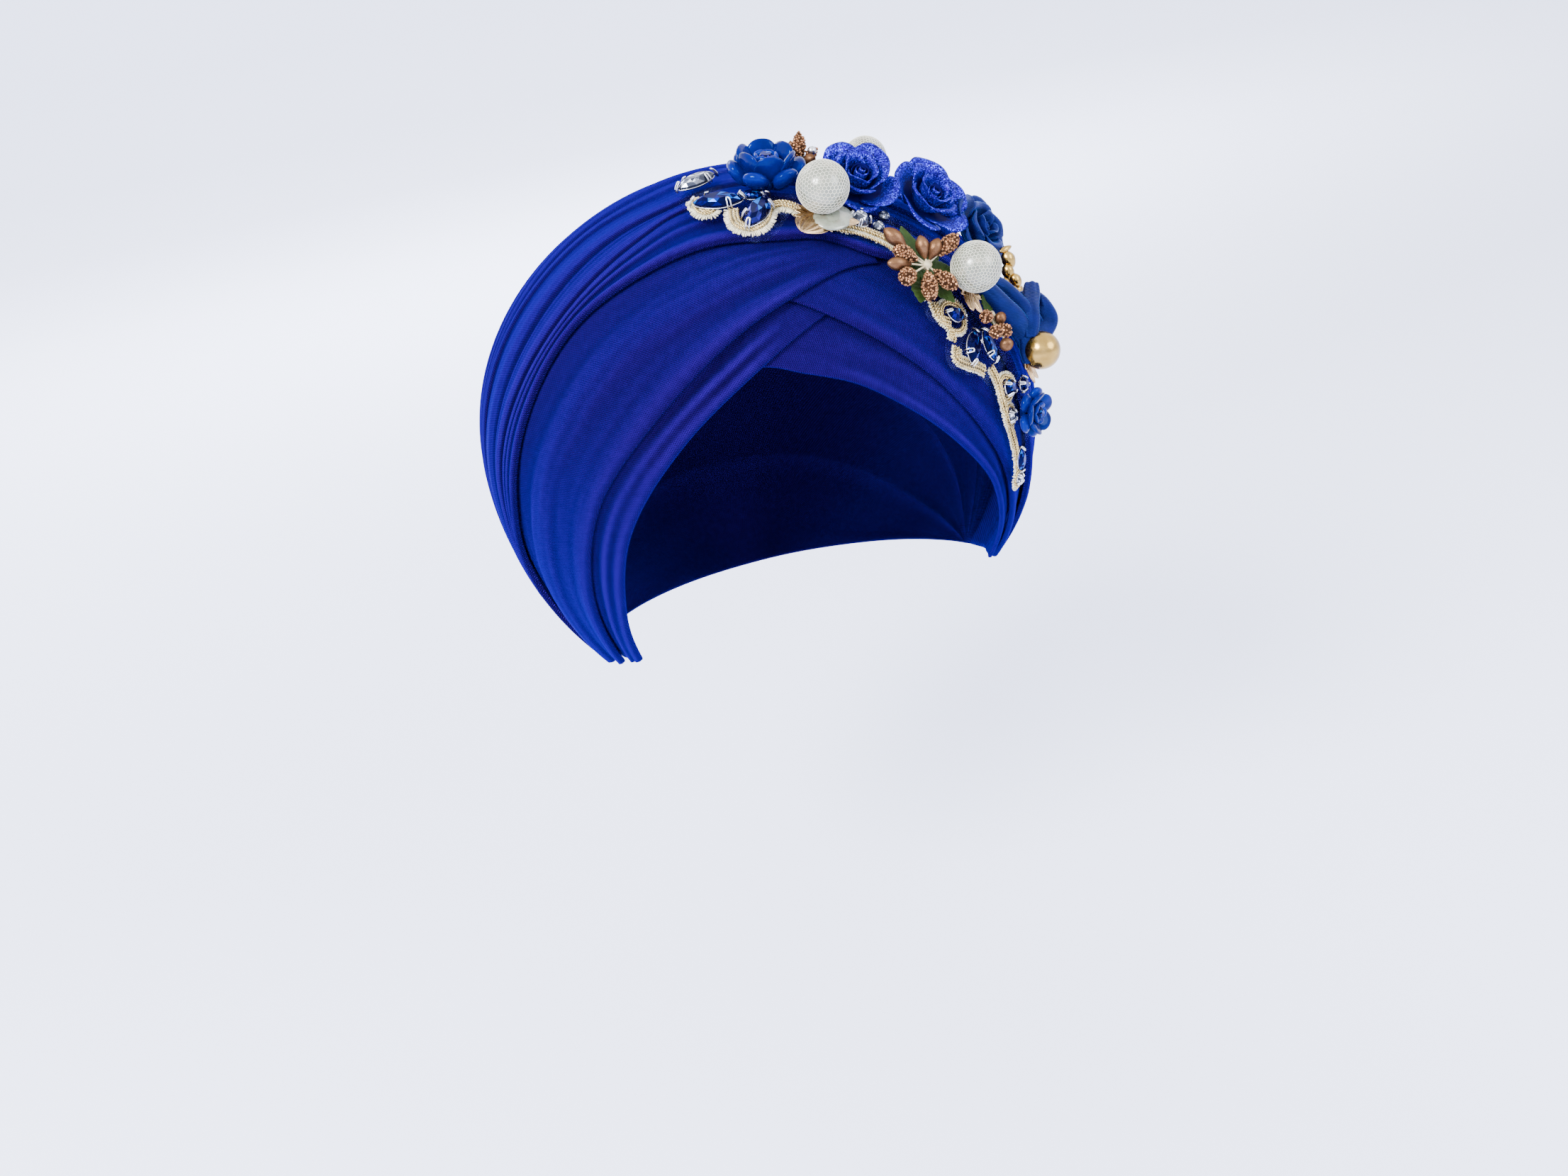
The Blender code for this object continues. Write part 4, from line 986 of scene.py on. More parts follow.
def cut_glass(outline, height, seed):
    """Faceted stone on an outline, and the tone of each facet, which paints a dark reflection or a bright glint on the
    crown and table facets at random.
    """
    chance = np.random.default_rng(seed)
    count = len(outline)
    between = (outline + np.roll(outline, -1, axis=0)) / 2
    rings = [(outline * 0.86, 0.0), (outline, 0.35), (outline, 0.45), (between * 0.82, 0.78), (outline * 0.56, 1.0)]
    points = [(x, y, share * height) for ring, share in rings for x, y in ring]
    points += [(0, 0, height * 1.002), (0, 0, 0)]
    top, bottom = len(points) - 2, len(points) - 1
    faces, tones = [], []
    for k in range(count):
        after = (k + 1) % count
        at = [ring * count + k for ring in range(5)]
        on = [ring * count + after for ring in range(5)]
        faces += [[bottom, at[0], on[0]], [at[0], on[0], on[1], at[1]], [at[1], on[1], on[2], at[2]]]
        tones += [0.1, 0.1, 0.2]
        faces += [[at[2], on[2], at[3]], [at[3], on[2], on[3]], [at[4], at[3], on[4]], [at[3], on[3], on[4]],
                  [at[4], on[4], top]]
        # Painted reflections: each crown and table facet gets a random tone, from a dark reflection to a bright glint
        tones += list(chance.choice([0.0, 0.2, 0.4, 0.7, 1.0], 4, p=[0.36, 0.3, 0.16, 0.1, 0.08]))
        tones.append(float(chance.choice([0.05, 0.25, 0.5, 0.95], p=[0.36, 0.36, 0.16, 0.12])))
    return (points, faces), tones


def claw(height, size):
    """Hairpin of wire that grips the stone: X points away from the stone."""
    legs = [(0.8, 0.55, 0.05), (0.7, 0.56, 0.45), (0.3, 0.55, 0.66), (-0.15, 0.52, 0.86)]
    bend = [(-0.3 - 0.5 * math.sin(turn), 0.5 * math.cos(turn), 0.94 + 0.06 * math.sin(turn))
            for turn in np.linspace(0.3, math.pi - 0.3, 5)]
    path = legs + bend + [(x, -y, z) for x, y, z in legs[::-1]]
    return tube([(x * size, y * size, z * height) for x, y, z in path], CLAW_WIRE)


def cut_finish(name, stops, tint, coat):
    glass = Finish(name, {
        "Specular IOR Level": 0.3, "Specular Tint": tint, "Coat Weight": coat, "Coat Roughness": 0.03})
    inner = glass.part(glass.cells(620.0, "Color"), 0)
    return glass.fed({
        "Base Color": glass.ramp(glass.stored("tone") * 0.8 + inner * 0.25, *stops),
        "Metallic": inner * 0.3 + 0.3,
        "Roughness": inner * 0.08 + 0.04})


# The tones map to colours from a dark reflection up to a painted glint: bright cyan on the sapphire, near white on the
# clear glass
CUT_GLASS = {
    "sapphire": cut_finish("sapphire glass", [
        (0.0, (0.0004, 0.0001, 0.005)), (0.42, (0.0012, 0.0001, 0.022)), (0.68, (0.0042, 0.0003, 0.115)),
        (0.92, (0.0005, 0.085, 0.36))], (0.05, 0.12, 1.0), 0.03),
    "crystal": cut_finish("clear glass", [
        (0.0, (0.005, 0.006, 0.012)), (0.35, (0.026, 0.032, 0.055)), (0.62, (0.13, 0.14, 0.18)),
        (0.85, (0.80, 0.83, 0.92))], (1.0, 1.0, 1.0), 0.3)}
silver_wire = metal("silver wire", (0.22, 0.22, 0.24), (0.72, 0.72, 0.76), 0.1)
RIM_POINTS = 40

settings = Form()
for number, (stone_name, (azimuth, elevation, length, width, spin, rise, glass)) in enumerate(STONES.items()):
    stone_frame = seat(azimuth, elevation, 0.5 * length, spin, rise)
    pointed = length > POINTED * width
    height = 0.5 * width
    outline = pointed_oval(length, width, 14) if pointed else circle(12, length / 2, width / 2)
    shape, tones = cut_glass(outline, height, number + 3)
    stone = Form()
    stone.add(shape, tone=tones)
    add_piece(stone_name + "_glass", stone.mesh(stone_frame, smooth=False), CUT_GLASS[glass], [stone_name])
    if stone_name.startswith("crystal_bead"):
        continue
    in_mm = Matrix(stone_frame)
    in_mm.translation = in_mm.translation / MM
    girdle = (pointed_oval(length, width, RIM_POINTS) if pointed
              else circle(RIM_POINTS, length / 2, width / 2))
    rim = [(x * 0.97, y * 0.95, 0.16 * height) for x, y in [*girdle, girdle[0]]]
    settings.add(tube(rim, 0.2 if length > 5 else 0.26), in_mm)
    grips = ([0, 180] if pointed else [45, 135, 225, 315]) + ([118, 298] if length > 8 else [])
    bearing = np.arctan2(girdle[:, 1] * length, girdle[:, 0] * width)
    for turn in grips:
        along = math.radians(turn)
        nearest = min(range(RIM_POINTS), key=lambda k: abs(math.remainder(bearing[k] - along, 2 * math.pi)))
        edge = girdle[(nearest + 1) % RIM_POINTS] - girdle[nearest - 1]
        facing = along if turn in (0, 180) else math.atan2(-edge[0], edge[1])
        pose = Matrix.Translation((*girdle[nearest], 0)) @ Matrix.Rotation(facing, 4, "Z")
        settings.add(claw(height, 0.95 if length > 8 else 0.6), in_mm @ pose)
add_piece("stone_settings", settings.mesh(), silver_wire)

# resin_flower_...: two flowers of cast blue resin, with three layers of thick round petals.
# Each is sewn on through its middle, under a small cut bead.

# Each flower: azimuth, elevation, petals, ring, petal length and width, spin, lean and pitch of the petals
RESIN_FLOWERS = {
    "resin_flower_top": (12.0, 65.6, 6, 7.8, 11.5, 9.0, 10, -2, 68),
    "resin_flower_low": (45.4, -1.4, 5, 4.4, 8.2, 6.4, 25, 10, 36),
}


def resin_petal(length, width, thick, dip):
    """Closed plump petal along X, round at its tip, narrow at its foot, hollowed on top by dip."""
    points, rings, segments = [], 22, 28
    for i in range(rings + 1):
        turn = math.pi * i / rings
        x = -math.cos(turn)
        reach = math.sin(turn) ** 0.85 if 0 < i < rings else 0.0
        broad = reach * (0.80 + 0.22 * x - 0.08 * x * x)
        for k in range(segments):
            around = 2 * math.pi * k / segments
            y, z = broad * math.cos(around), reach * math.sin(around)
            hollow = dip * math.exp(-(y / 0.34) ** 2) * max(z, 0) * (1 - 0.5 * x * x)
            rim_roll = 0.10 * max(x, 0) ** 2
            points.append((x * length / 2, y * width / 2, (z - hollow + rim_roll) * thick / 2))
    faces = [[i * segments + k, (i + 1) * segments + k, (i + 1) * segments + (k + 1) % segments,
              i * segments + (k + 1) % segments] for i in range(1, rings - 1) for k in range(segments)]
    faces += [[0, segments + k, segments + (k + 1) % segments] for k in range(segments)]
    last = rings * segments
    faces += [[last - segments + k, last, last - segments + (k + 1) % segments] for k in range(segments)]
    keep = sorted({i for face in faces for i in face})
    order = {old: new for new, old in enumerate(keep)}
    return np.array(points)[keep], [[order[i] for i in face] for face in faces]


resin_look = Finish("cast blue resin", {
    "Specular IOR Level": 0.25, "Specular Tint": (0.1, 0.4, 1.0), "Coat Weight": 0.03, "Coat Roughness": 0.05,
    "Transmission Weight": 0.1, "IOR": 1.35})
swirl = resin_look.noise(170.0, 3.0)
cast_resin = resin_look.fed({
    "Base Color": resin_look.ramp(swirl * 0.6 + resin_look.stored("tone") * 0.4, (0.25, (0.0001, 0.0004, 0.033)),
                                  (0.5, (0.0001, 0.0027, 0.098)), (0.8, (0.0002, 0.013, 0.25))),
    "Roughness": swirl * 0.15 + 0.06,
    "Normal": resin_look.bump(0.5, 0.0006, swirl)})
# Foot of a flower, out and up as shares of its ring and its petal width
FLOWER_FOOT = [(0, 0), (0.6, 0), (0.8, 0.1), (0.8, 0.35), (0.4, 0.5), (0, 0.52)]

for flower_name, (azimuth, elevation, petals, ring, length, width, spin, lean, pitch) in RESIN_FLOWERS.items():
    flower_frame = seat(azimuth, elevation, 0.8 * ring, spin, 0, lean)
    flower = Form()
    flower.add(lathe([(out * ring, up * width, 0) for out, up in FLOWER_FOOT], 24), tone=0.1)
    for k in range(petals):
        # Three layers: turn, distance out, height, length, width, thickness, hollow, pitch and tone
        for turn, out, up, long, wide, thick, dip, tilt, tone in (
                (k, 0.72, 0.62, 1.04, 1.3, 0.34, 0.3, 6 * math.sin(2.3 * k), 0.3 + 0.15 * math.sin(3.1 * k)),
                (k + 0.5, 1.02, 0.42, 0.84, 1.08, 0.5, 0.0, 6 * math.cos(2.9 * k) - 26, 0.5 + 0.2 * math.cos(2.7 * k)),
                (k + 0.5, 0.3, 0.66, 0.66, 0.8, 0.3, 0.3, 8, 0.7)):
            around = 2 * math.pi / petals * turn
            at = (out * ring * math.cos(around), out * ring * math.sin(around), up * width)
            flower.add(resin_petal(long * length, wide * width, thick * width, dip),
                       posed(math.degrees(around), pitch + tilt, at), tone)
    add_piece(flower_name + "_petals", flower.mesh(flower_frame), cast_resin, [flower_name])
    bead = Form()
    bead_size = 0.3 * ring + 0.5
    shape, tones = cut_glass(circle(10, bead_size, bead_size), 1.1 * bead_size, petals)
    bead.add(shape, Matrix.Translation((0, 0, 0.72 * width)), tones)
    add_piece(flower_name + "_bead", bead.mesh(flower_frame, smooth=False), CUT_GLASS["sapphire"])

# glitter_rose_...: roses of stiff cloth, its outside covered with royal blue glitter, its inside plain.
# The petals are cut one by one, curled, and glued round a rolled middle.

# Each rose: azimuth, elevation, radius, height, spin, lean and seed
GLITTER_ROSES = {
    "glitter_rose_front": (38.0, 53.6, 11.5, 10.5, 0, 24, 1),
    "glitter_rose_back": (53.6, 42.8, 12.0, 10.0, 40, 24, 5),
}


def petal(middle, spread, foot, length, leans, tuck, seed, rows=18, columns=26):
    """Grid of one petal round Z: its lean above the horizontal is given from foot to rim."""
    share = np.linspace(0, 1, rows)
    lean = np.radians(np.interp(share, [0, 0.35, 0.72, 0.88, 1], leans))
    step = length / (rows - 1)
    out = foot + np.concatenate([[0], np.cumsum(np.cos(lean[:-1]) * step)])
    rise = 0.5 + np.concatenate([[0], np.cumsum(np.sin(lean[:-1]) * step)])
    side = np.linspace(-1, 1, columns)[None]
    run = share[:, None] * (1 - 0.3 * np.abs(side) ** 2.4 + 0.04 * np.sin(4 * side + seed))
    wave = 0.05 * length * np.sin(3.4 * side + 1.7 * seed) * run ** 2 + tuck * side * run
    reach = np.interp(run, share, out) + wave
    height = np.interp(run, share, rise) - 0.03 * length * np.cos(5 * side + seed) * run ** 3
    turn = np.radians(middle) + np.radians(spread) * side
    return np.stack([reach * np.cos(turn), reach * np.sin(turn), height], axis=2)


def rolled(turns, wide, narrow, height, phase, rows=10, columns=90):
    """Grid of a strip rolled up round Z, wider at its top."""
    share = np.linspace(0, 1, columns)[None]
    up = np.linspace(0, 1, rows)[:, None]
    reach = (narrow + (wide - narrow) * share) * (0.72 + 0.28 * up)
    turn = phase + 2 * math.pi * turns * share
    top = height * (1 - 0.16 * share + 0.03 * np.sin(9 * share + phase))
    return np.stack([reach * np.cos(turn), reach * np.sin(turn), 0.6 + up * top], axis=2)


def two_faced(form, grid, thickness, outside, inside, matrix=Matrix.Identity(4)):
    """Adds a thin sheet whose two faces have their own tone."""
    rows, columns = np.shape(grid)[0] - 1, np.shape(grid)[1] - 1
    inner = list(np.repeat(inside, columns)) if np.ndim(inside) else [inside] * (rows * columns)
    form.add(thin_wall(grid, thickness), matrix, [outside] * (rows * columns) + inner)


def glitter_cloth():
    cloth = Finish("blue glitter cloth", {
        "Specular IOR Level": 0.12, "Specular Tint": (0.05, 0.08, 1.0), "Sheen Weight": 0.06,
        "Sheen Tint": (0.05, 0.08, 1.0), "Sheen Roughness": 0.4})
    flake = cloth.cells(3500.0, "Color")
    chance, tip = cloth.part(flake, 0), cloth.part(flake, 1)
    patch, covered = cloth.noise(260.0, 3.0), cloth.stored("tone")
    glitter = cloth.ramp(chance * 0.8 + patch * 0.3, (0.1, (0.0020, 0.0001, 0.016)), (0.4, (0.0075, 0.0004, 0.082)),
                         (0.65, (0.016, 0.0025, 0.25)), (0.82, (0.032, 0.026, 0.60)), (0.95, (0.085, 0.12, 0.95)))
    plain = cloth.ramp(patch, (0.3, (0.0016, 0.0001, 0.018)), (0.7, (0.0042, 0.0002, 0.044)))
    return cloth.fed({
        "Base Color": cloth.add("ShaderNodeMix", {"data_type": "RGBA"}, {"Factor": covered, 6: plain, 7: glitter}, 2),
        "Metallic": covered * (chance * 0.5 + 0.3),
        "Roughness": 0.5 - covered * tip * 0.3,
        "Normal": cloth.bump(0.9, 0.0003, covered * tip * 1.2 + patch * 0.2)})


glittered = glitter_cloth()
lip = np.clip((np.linspace(0, 1, 17) - 0.5) / 0.3, 0, 1)
for rose_name, (azimuth, elevation, radius, height, spin, lean, seed) in GLITTER_ROSES.items():
    rose = Form()
    for k in range(5):
        two_faced(rose, petal(72 * k + 9 * math.sin(seed + k), 50, 0.12 * radius, 1.14 * radius,
                              [6, 22, 42, 20, -30], 0.09 * radius, seed + k), 0.6, 1, lip)
    for k in range(4):
        two_faced(rose, petal(90 * k + 30 + 8 * math.cos(seed + 2 * k), 56, 0.1 * radius, 0.94 * radius,
                              [22, 52, 66, 30, -30], 0.08 * radius, seed + 3 + k), 0.6, 1, 0.9 * lip)
    for k in range(3):
        two_faced(rose, petal(120 * k + 75, 70, 0.08 * radius, 0.9 * radius,
                              [40, 70, 82, 60, 10], 0.06 * radius, seed + 7 + k), 0.55, 1, 0.8 * lip)
    two_faced(rose, rolled(2.2, 0.24 * radius, 0.04 * radius, 0.82 * height, seed), 0.5, 0.8, 0.0)
    foot = [(0, 0, 0), (0.4 * radius, 0, 0), (0.45 * radius, 0.7, 0), (0.2 * radius, 1.6, 0), (0, 1.8, 0)]
    rose.add(lathe(foot, 20), tone=0.1)
    add_piece(rose_name + "_petals", rose.mesh(seat(azimuth, elevation, 0.4 * radius, spin, 0, lean)),
              glittered, [rose_name])

# ribbon_rose: a rose folded from one blue satin ribbon, with thick rolled edges.
# The folds are sewn together at the foot, and the foot is sewn to the trim.

# Each layer: petals, first turn, spread, foot, length, leans, tuck, seed, thickness and the tones of its faces, outside
# then inside; the darker inside tones are painted shade, darkest on the inner layers
ROSE_LAYERS = [
    (5, 0, 52, 1.4, 13.0, [8, 30, 58, -20, -110], 1.0, 2, 0.6, 0.55, 0.3),
    (4, 40, 62, 1.2, 11.4, [30, 58, 76, 0, -110], 0.8, 6, 0.55, 0.6, 0.25),
    (3, 15, 76, 0.8, 9.8, [50, 76, 86, 60, -60], 0.5, 9, 0.5, 0.65, 0.2)]


def satin_ribbon():
    ribbon = Finish("blue satin ribbon", {
        "Specular IOR Level": 0.3, "Specular Tint": (0.1, 0.35, 1.0), "Sheen Weight": 0.3,
        "Sheen Tint": (0.05, 0.25, 1.0), "Sheen Roughness": 0.35})
    streak = ribbon.noise(330.0, 4.0)
    x, z = (ribbon.part(ribbon.place(), axis) for axis in (0, 2))
    rib = (z * 15000.0 + x * 6000.0 + streak * 5.0).sine()
    # The stored tone carries painted shade: the darker insides of the rose and the darkened knot
    shade = streak * 0.5 + ribbon.stored("tone") * 0.5 + rib * 0.04
    return ribbon.fed({
        "Base Color": ribbon.ramp(shade, (0.15, (0.0012, 0.0009, 0.018)), (0.5, (0.0046, 0.0042, 0.070)),
                                  (0.85, (0.0150, 0.018, 0.19))),
        "Metallic": streak * 0.3 + 0.2,
        "Roughness": streak * 0.2 + 0.28,
        "Normal": ribbon.bump(0.4, 0.0001, rib + streak * 2.0)})


satin = satin_ribbon()
ribbon_rose = Form()
for petals, first, spread, foot, length, leans, tuck, seed, thickness, outside, inside in ROSE_LAYERS:
    for k in range(petals):
        two_faced(ribbon_rose, petal(360 / petals * k + first, spread, foot, length, leans, tuck, seed + k),
                  thickness, outside, inside)
# The rolled middle gets a dark tone on its inside as painted shade
two_faced(ribbon_rose, rolled(1.8, 2.0, 0.5, 7.8, 1.0), 0.5, 0.6, 0.2)
ribbon_rose.add(lathe([(0, 0, 0), (3.6, 0, 0), (4.0, 0.7, 0), (2.0, 1.6, 0), (0, 1.8, 0)], 20), tone=0.2)
ribbon_rose_frame = seat(64.2, 31.6, 3.76, 20, 0, 24) @ Matrix.Translation((-0.002, 0.0015, 0))
add_piece("ribbon_rose_folds", ribbon_rose.mesh(ribbon_rose_frame), satin, ["ribbon_rose"])

# ribbon_knot: short folds, a loop and a tail of the same ribbon, tied in a knot with pleats.
# It is sewn to the trim under the knot, and its ends are free.

# Each ribbon: its width, how far it is cupped, its tone, and its path (out along X, Y, Z of the seat)
KNOT_RIBBONS = [
    (6.4, 1.2, 0.62, [(-9.5, 13.4, 0.9), (-7.6, 8.4, 2.2), (-6.0, 3.6, 3.2), (-5.0, -1.1, 4.2), (-3.8, -6.2, 4.2),
                      (-2.4, -10.8, 2.8)]),
    (5.6, 0.9, 0.42, [(-3.4, 12.0, 2.0), (-1.0, 7.4, 4.0), (-0.4, 2.2, 5.6), (-1.6, -2.6, 6.8), (-2.4, -7.6, 6.0)]),
    (6.2, 0.5, 0.66, [(7.6, 1.4, 7.6), (5.1, -3.5, 10.0), (4.3, -7.1, 10.2), (0.2, -8.9, 8.0),
                      (-3.4, -9.6, 5.6)]),
    (5.0, 0.6, 0.52, [(8.8, 4.6, 9.4), (4.6, 2.0, 9.2), (0.2, -0.8, 8.8), (-2.6, -4.4, 7.8), (-4.4, -8.6, 6.0)]),
    (6.4, -0.8, 0.2, [(2.0, 3.2, 3.4), (1.0, 0.4, 4.8), (1.2, -2.4, 6.0), (0.8, -6.8, 7.2)]),
    (4.8, 0.7, 0.5, [(-3.0, -3.6, 4.6), (-4.0, -8.2, 4.8), (-5.0, -12.4, 3.6), (-5.6, -15.4, 2.6)]),
    (5.0, 0.7, 0.4, [(2.0, 0.5, 2.0), (6.5, 1.5, 4.6), (9.5, 0.5, 5.6), (12.5, -1.5, 4.6)]),
    (4.6, 0.8, 0.45, [(1.0, -2.0, 3.0), (6.0, -5.0, 5.5), (10.0, -7.5, 5.0)]),
]
KNOT_FACING = unit(np.array([-1.0, 0.1, 0.36]))


def curve_through(points, count):
    """Points spread evenly along a smooth curve through the given ones."""
    fine = curve_points(np.array(points, float), 0.05)
    return evenly(fine, run_of(fine), count)


def ribbon_fold(width, cup, path, rows=17, columns=56):
    """Grid of a ribbon laid along a path, cupped across its width, with pleats that fade along it."""
    fine = curve_through(path, columns)
    along = unit(np.gradient(fine, axis=0))
    side = unit(np.cross(along, KNOT_FACING))
    face = np.cross(side, along)
    face *= np.sign(face @ KNOT_FACING)[:, None]
    v = np.linspace(-1, 1, rows)[:, None, None]
    run = np.linspace(0, 1, columns)[None, :, None]
    spread = 0.82 + 0.3 * np.sin(math.pi * run) + 0.08 * np.sin(9 * run + cup)
    rolled_edge = 0.35 * np.abs(v) ** 6
    pleats = 0.42 * np.abs(np.sin(v * 3.4 + 1.5 * run + width)) * (0.6 + 0.4 * np.cos(4.0 * run + cup))
    out = cup * (1 - v ** 2) - rolled_edge + pleats
    return fine[None] + side[None] * v * width / 2 * spread + face[None] * out


knot = Form()
for width, cup, tone, path in KNOT_RIBBONS:
    # Painted shadow: every fold of the knot is darkened to 0.65 of its tone and its inside faces are made dark, as the
    # knot lies in shade
    two_faced(knot, ribbon_fold(width, cup, path), 0.35, tone * 0.65, 0.15)
knot_rows = [(0, 0, 0), (2.0, 0.2, 0.02), (2.9, 0.9, 0.06), (3.4, 2.0, 0.08), (3.6, 3.0, 0.08), (3.2, 4.2, 0.08),
             (2.3, 5.3, 0.06), (1.2, 5.9, 0.02), (0, 6.1, 0)]
knot.add(lathe(knot_rows, 64, 8), tone=0.4)
add_piece("ribbon_knot_folds", knot.mesh(seat(49.6, 16.2, 6.0)), satin, ["ribbon_knot"])

# berry_spray_...: bunches of copper stamen berries on thin stems, some smooth and some sugared with grains.
# The stems are bound at a hub that is sewn to the trim.

# Each spray: azimuth, elevation, rise, hub and lean, then its berries as (turn, pitch, stem, length, width),
# and the numbers of those that are sugared
SPRAYS = {
    "berry_spray_main": (30.8, 31.2, 4.4, 2.6, 12, [
        (113, 8, 7.6, 8.8, 4.5), (80, 26, 1.4, 7.4, 4.1), (36, 36, 1.4, 7.0, 4.0), (157, 8, 5.2, 8.8, 4.1),
        (134, 12, 3.2, 8.8, 4.6), (184, 8, 6.0, 6.2, 5.4), (10, 24, 3.8, 9.2, 4.8), (-129, 8, 2.2, 11.2, 5.0),
        (-80, 10, 2.4, 9.0, 4.6)], (4, 5, 6, 7, 8)),
    "berry_spray_side": (41.6, 18.2, 2.3, 2.0, 0, [
        (176, 12, 2.6, 5.6, 4.0), (-122, 48, 1.4, 4.0, 3.8), (-143, 14, 5.6, 4.6, 4.2), (-122, 26, 4.8, 5.0, 4.2),
        (-126, 16, 9.6, 4.6, 4.2)], (0, 2, 3)),
    "berry_spray_top": (42.0, 67.0, 1.1, 2.0, 0, [
        (150, 55, 1, 8, 4.0), (60, 65, 1, 9, 4.0), (-120, 35, 1, 6.5, 4.0), (-30, 50, 1, 6, 3.4)], (0, 1, 3)),
}
# Radius of a sugar grain in metres, and how far apart the grains are in radii
GRAIN = 0.00046
GRAIN_SPACING = 1.38


def berry(stem, length, width, segments=18):
    """Drop along X, thicker towards its round tip."""
    shares = np.concatenate([np.linspace(0.03, 0.9, 12), [0.95, 0.98]])
    rows = [(0, stem, 0)]
    rows += [(width / 2 * math.sin(math.pi * share ** 1.25) ** 0.7, stem + share * length, 0) for share in shares]
    rows += [(0, stem + 0.99 * length, 0)]
    points, faces = lathe(rows, segments)
    return [(z, y, -x) for x, y, z in points], faces


def sugar(graph, inputs):
    """Grains scattered close together over the berries."""
    spots = graph.add("GeometryNodeDistributePointsOnFaces", {"distribute_method": "POISSON"}, {
        "Mesh": inputs["Geometry"], "Distance Min": inputs["Grain"] * GRAIN_SPACING, "Density Max": 3.0e6, "Seed": 3})
    grain = graph.add("GeometryNodeMeshIcoSphere", {}, {"Radius": inputs["Grain"], "Subdivisions": 1})
    return graph.add("GeometryNodeInstanceOnPoints", {}, {
        "Points": spots, "Instance": grain, "Rotation": drawn(graph, (0.0, 0.0, 0.0), (3.0, 3.0, 3.0), 8),
        "Scale": drawn(graph, 0.75, 1.15, 5)})


def berry_skin(name, dark, light, metallic, rough, scale, relief):
    skin = Finish(name, {"Specular IOR Level": 0.15, "Specular Tint": light})
    patch, speck = skin.noise(scale, 4.0), skin.noise(3400.0, 2.0)
    return skin.fed({
        "Base Color": skin.ramp(patch * 0.65 + speck * 0.35, (0.32, dark), (0.68, light)),
        "Metallic": speck * 0.4 + metallic,
        "Roughness": patch * 0.25 + rough,
        "Normal": skin.bump(0.5, relief, patch + speck * 0.6)})


smooth_copper = berry_skin("matt copper skin", (0.060, 0.027, 0.012), (0.20, 0.100, 0.050), 0.6, 0.24, 300.0, 0.0002)
sugar_copper = berry_skin("copper sugar", (0.10, 0.042, 0.018), (0.46, 0.225, 0.11), 0.55, 0.16, 900.0, 0.0002)
copper_core = berry_skin("dark copper under the sugar", (0.014, 0.006, 0.003), (0.045, 0.02, 0.01),
                         0.3, 0.5, 500.0, 0.0001)
stem_wire = berry_skin("pale stem thread", (0.25, 0.2, 0.12), (0.6, 0.52, 0.34), 0.0, 0.5, 500.0, 0.0001)

for spray_name, (azimuth, elevation, rise, hub, lean, berries, sugared) in SPRAYS.items():
    spray_frame = seat(azimuth, elevation, 1.0, 0, rise, lean, 180)
    smooth, grained, stems = Form(), Form(), Form()
    stems.add(lathe([(0, -hub / 2, 0), (hub / 2, -hub / 3, 0), (hub / 2, hub / 3, 0), (0, hub / 2, 0)], 14))
    for number, (turn, pitch, stem, length, width) in enumerate(berries):
        stems.add(tube([(x, 0, 0.12 * math.sin(x + number)) for x in np.linspace(0, stem + 0.6, 6)], 0.3),
                  posed(turn, pitch))
        if number in sugared:
            grained.add(berry(stem, length, width - 0.5), posed(turn, pitch))
        else:
            smooth.add(berry(stem, length, width), posed(turn, pitch))
    add_piece(spray_name + "_berries", smooth.mesh(spray_frame), smooth_copper, [spray_name])
    add_piece(spray_name + "_stems", stems.mesh(spray_frame), stem_wire)
    core = grained.mesh(spray_frame)
    sugar_mesh = run_nodes(core.copy(), sugar, {"Grain": GRAIN, "Material": sugar_copper})
    add_piece(spray_name + "_sugared", core, copper_core)
    add_piece(spray_name + "_sugar", sugar_mesh, None)

# grey_bead: one small metal bead between the top berries.
# It is threaded on the same stitch that holds the top spray.
grey_bead = Form()
grey_bead.add(ball(1.4, 20, 14), Matrix.Translation((1.7, -2.0, 3.2)))
add_piece("grey_bead", grey_bead.mesh(seat(42.0, 67.0, 1.0, 0, 1.1, 0, 180)), silver_wire)

# gold_berries: a string of lumpy gold drops and beads on a bent wire behind the side pearl.
# The wire is bound to a small hub that is sewn to the trim.

# Each drop: its middle, length, width and the turn and pitch of its long axis
GOLD_DROPS = [
    ((0.0, 10.6, 5.6), 5.2, 2.0, -12, 42), ((0.0, 7.2, 4.6), 6.4, 4.4, -70, -10),
    ((-1.5, 4.4, 2.8), 5.4, 3.9, -80, -20), ((-1.0, 0.7, 3.4), 5.2, 3.6, -75, -5),
    ((-5.0, 2.6, 1.2), 3.0, 2.2, 60, 10), ((-4.0, -0.9, 1.6), 3.2, 2.8, -60, 0),
    ((-1.0, -4.5, 2.2), 3.5, 3.4, 0, 0), ((4.0, 2.0, 1.6), 5.0, 3.6, 20, 20), ((5.0, -3.0, 1.4), 4.6, 3.4, -30, 10),
    ((2.5, -6.0, 1.4), 4.2, 3.2, -70, 5)]


def gold_drop(length, width, lumps):
    """Drop of metal along X, with soft dents."""
    shares = np.linspace(0.04, 0.96, 15)
    rows = [(0, -length / 2, 0)]
    rows += [(width / 2 * math.sin(math.pi * share ** 0.9) ** 0.62, (share - 0.5) * length,
              0.05 * math.sin(7 * share + lumps)) for share in shares]
    points, faces = lathe(rows + [(0, length / 2, 0)], 24, 3, lumps)
    return [(z, y, -x) for x, y, z in points], faces


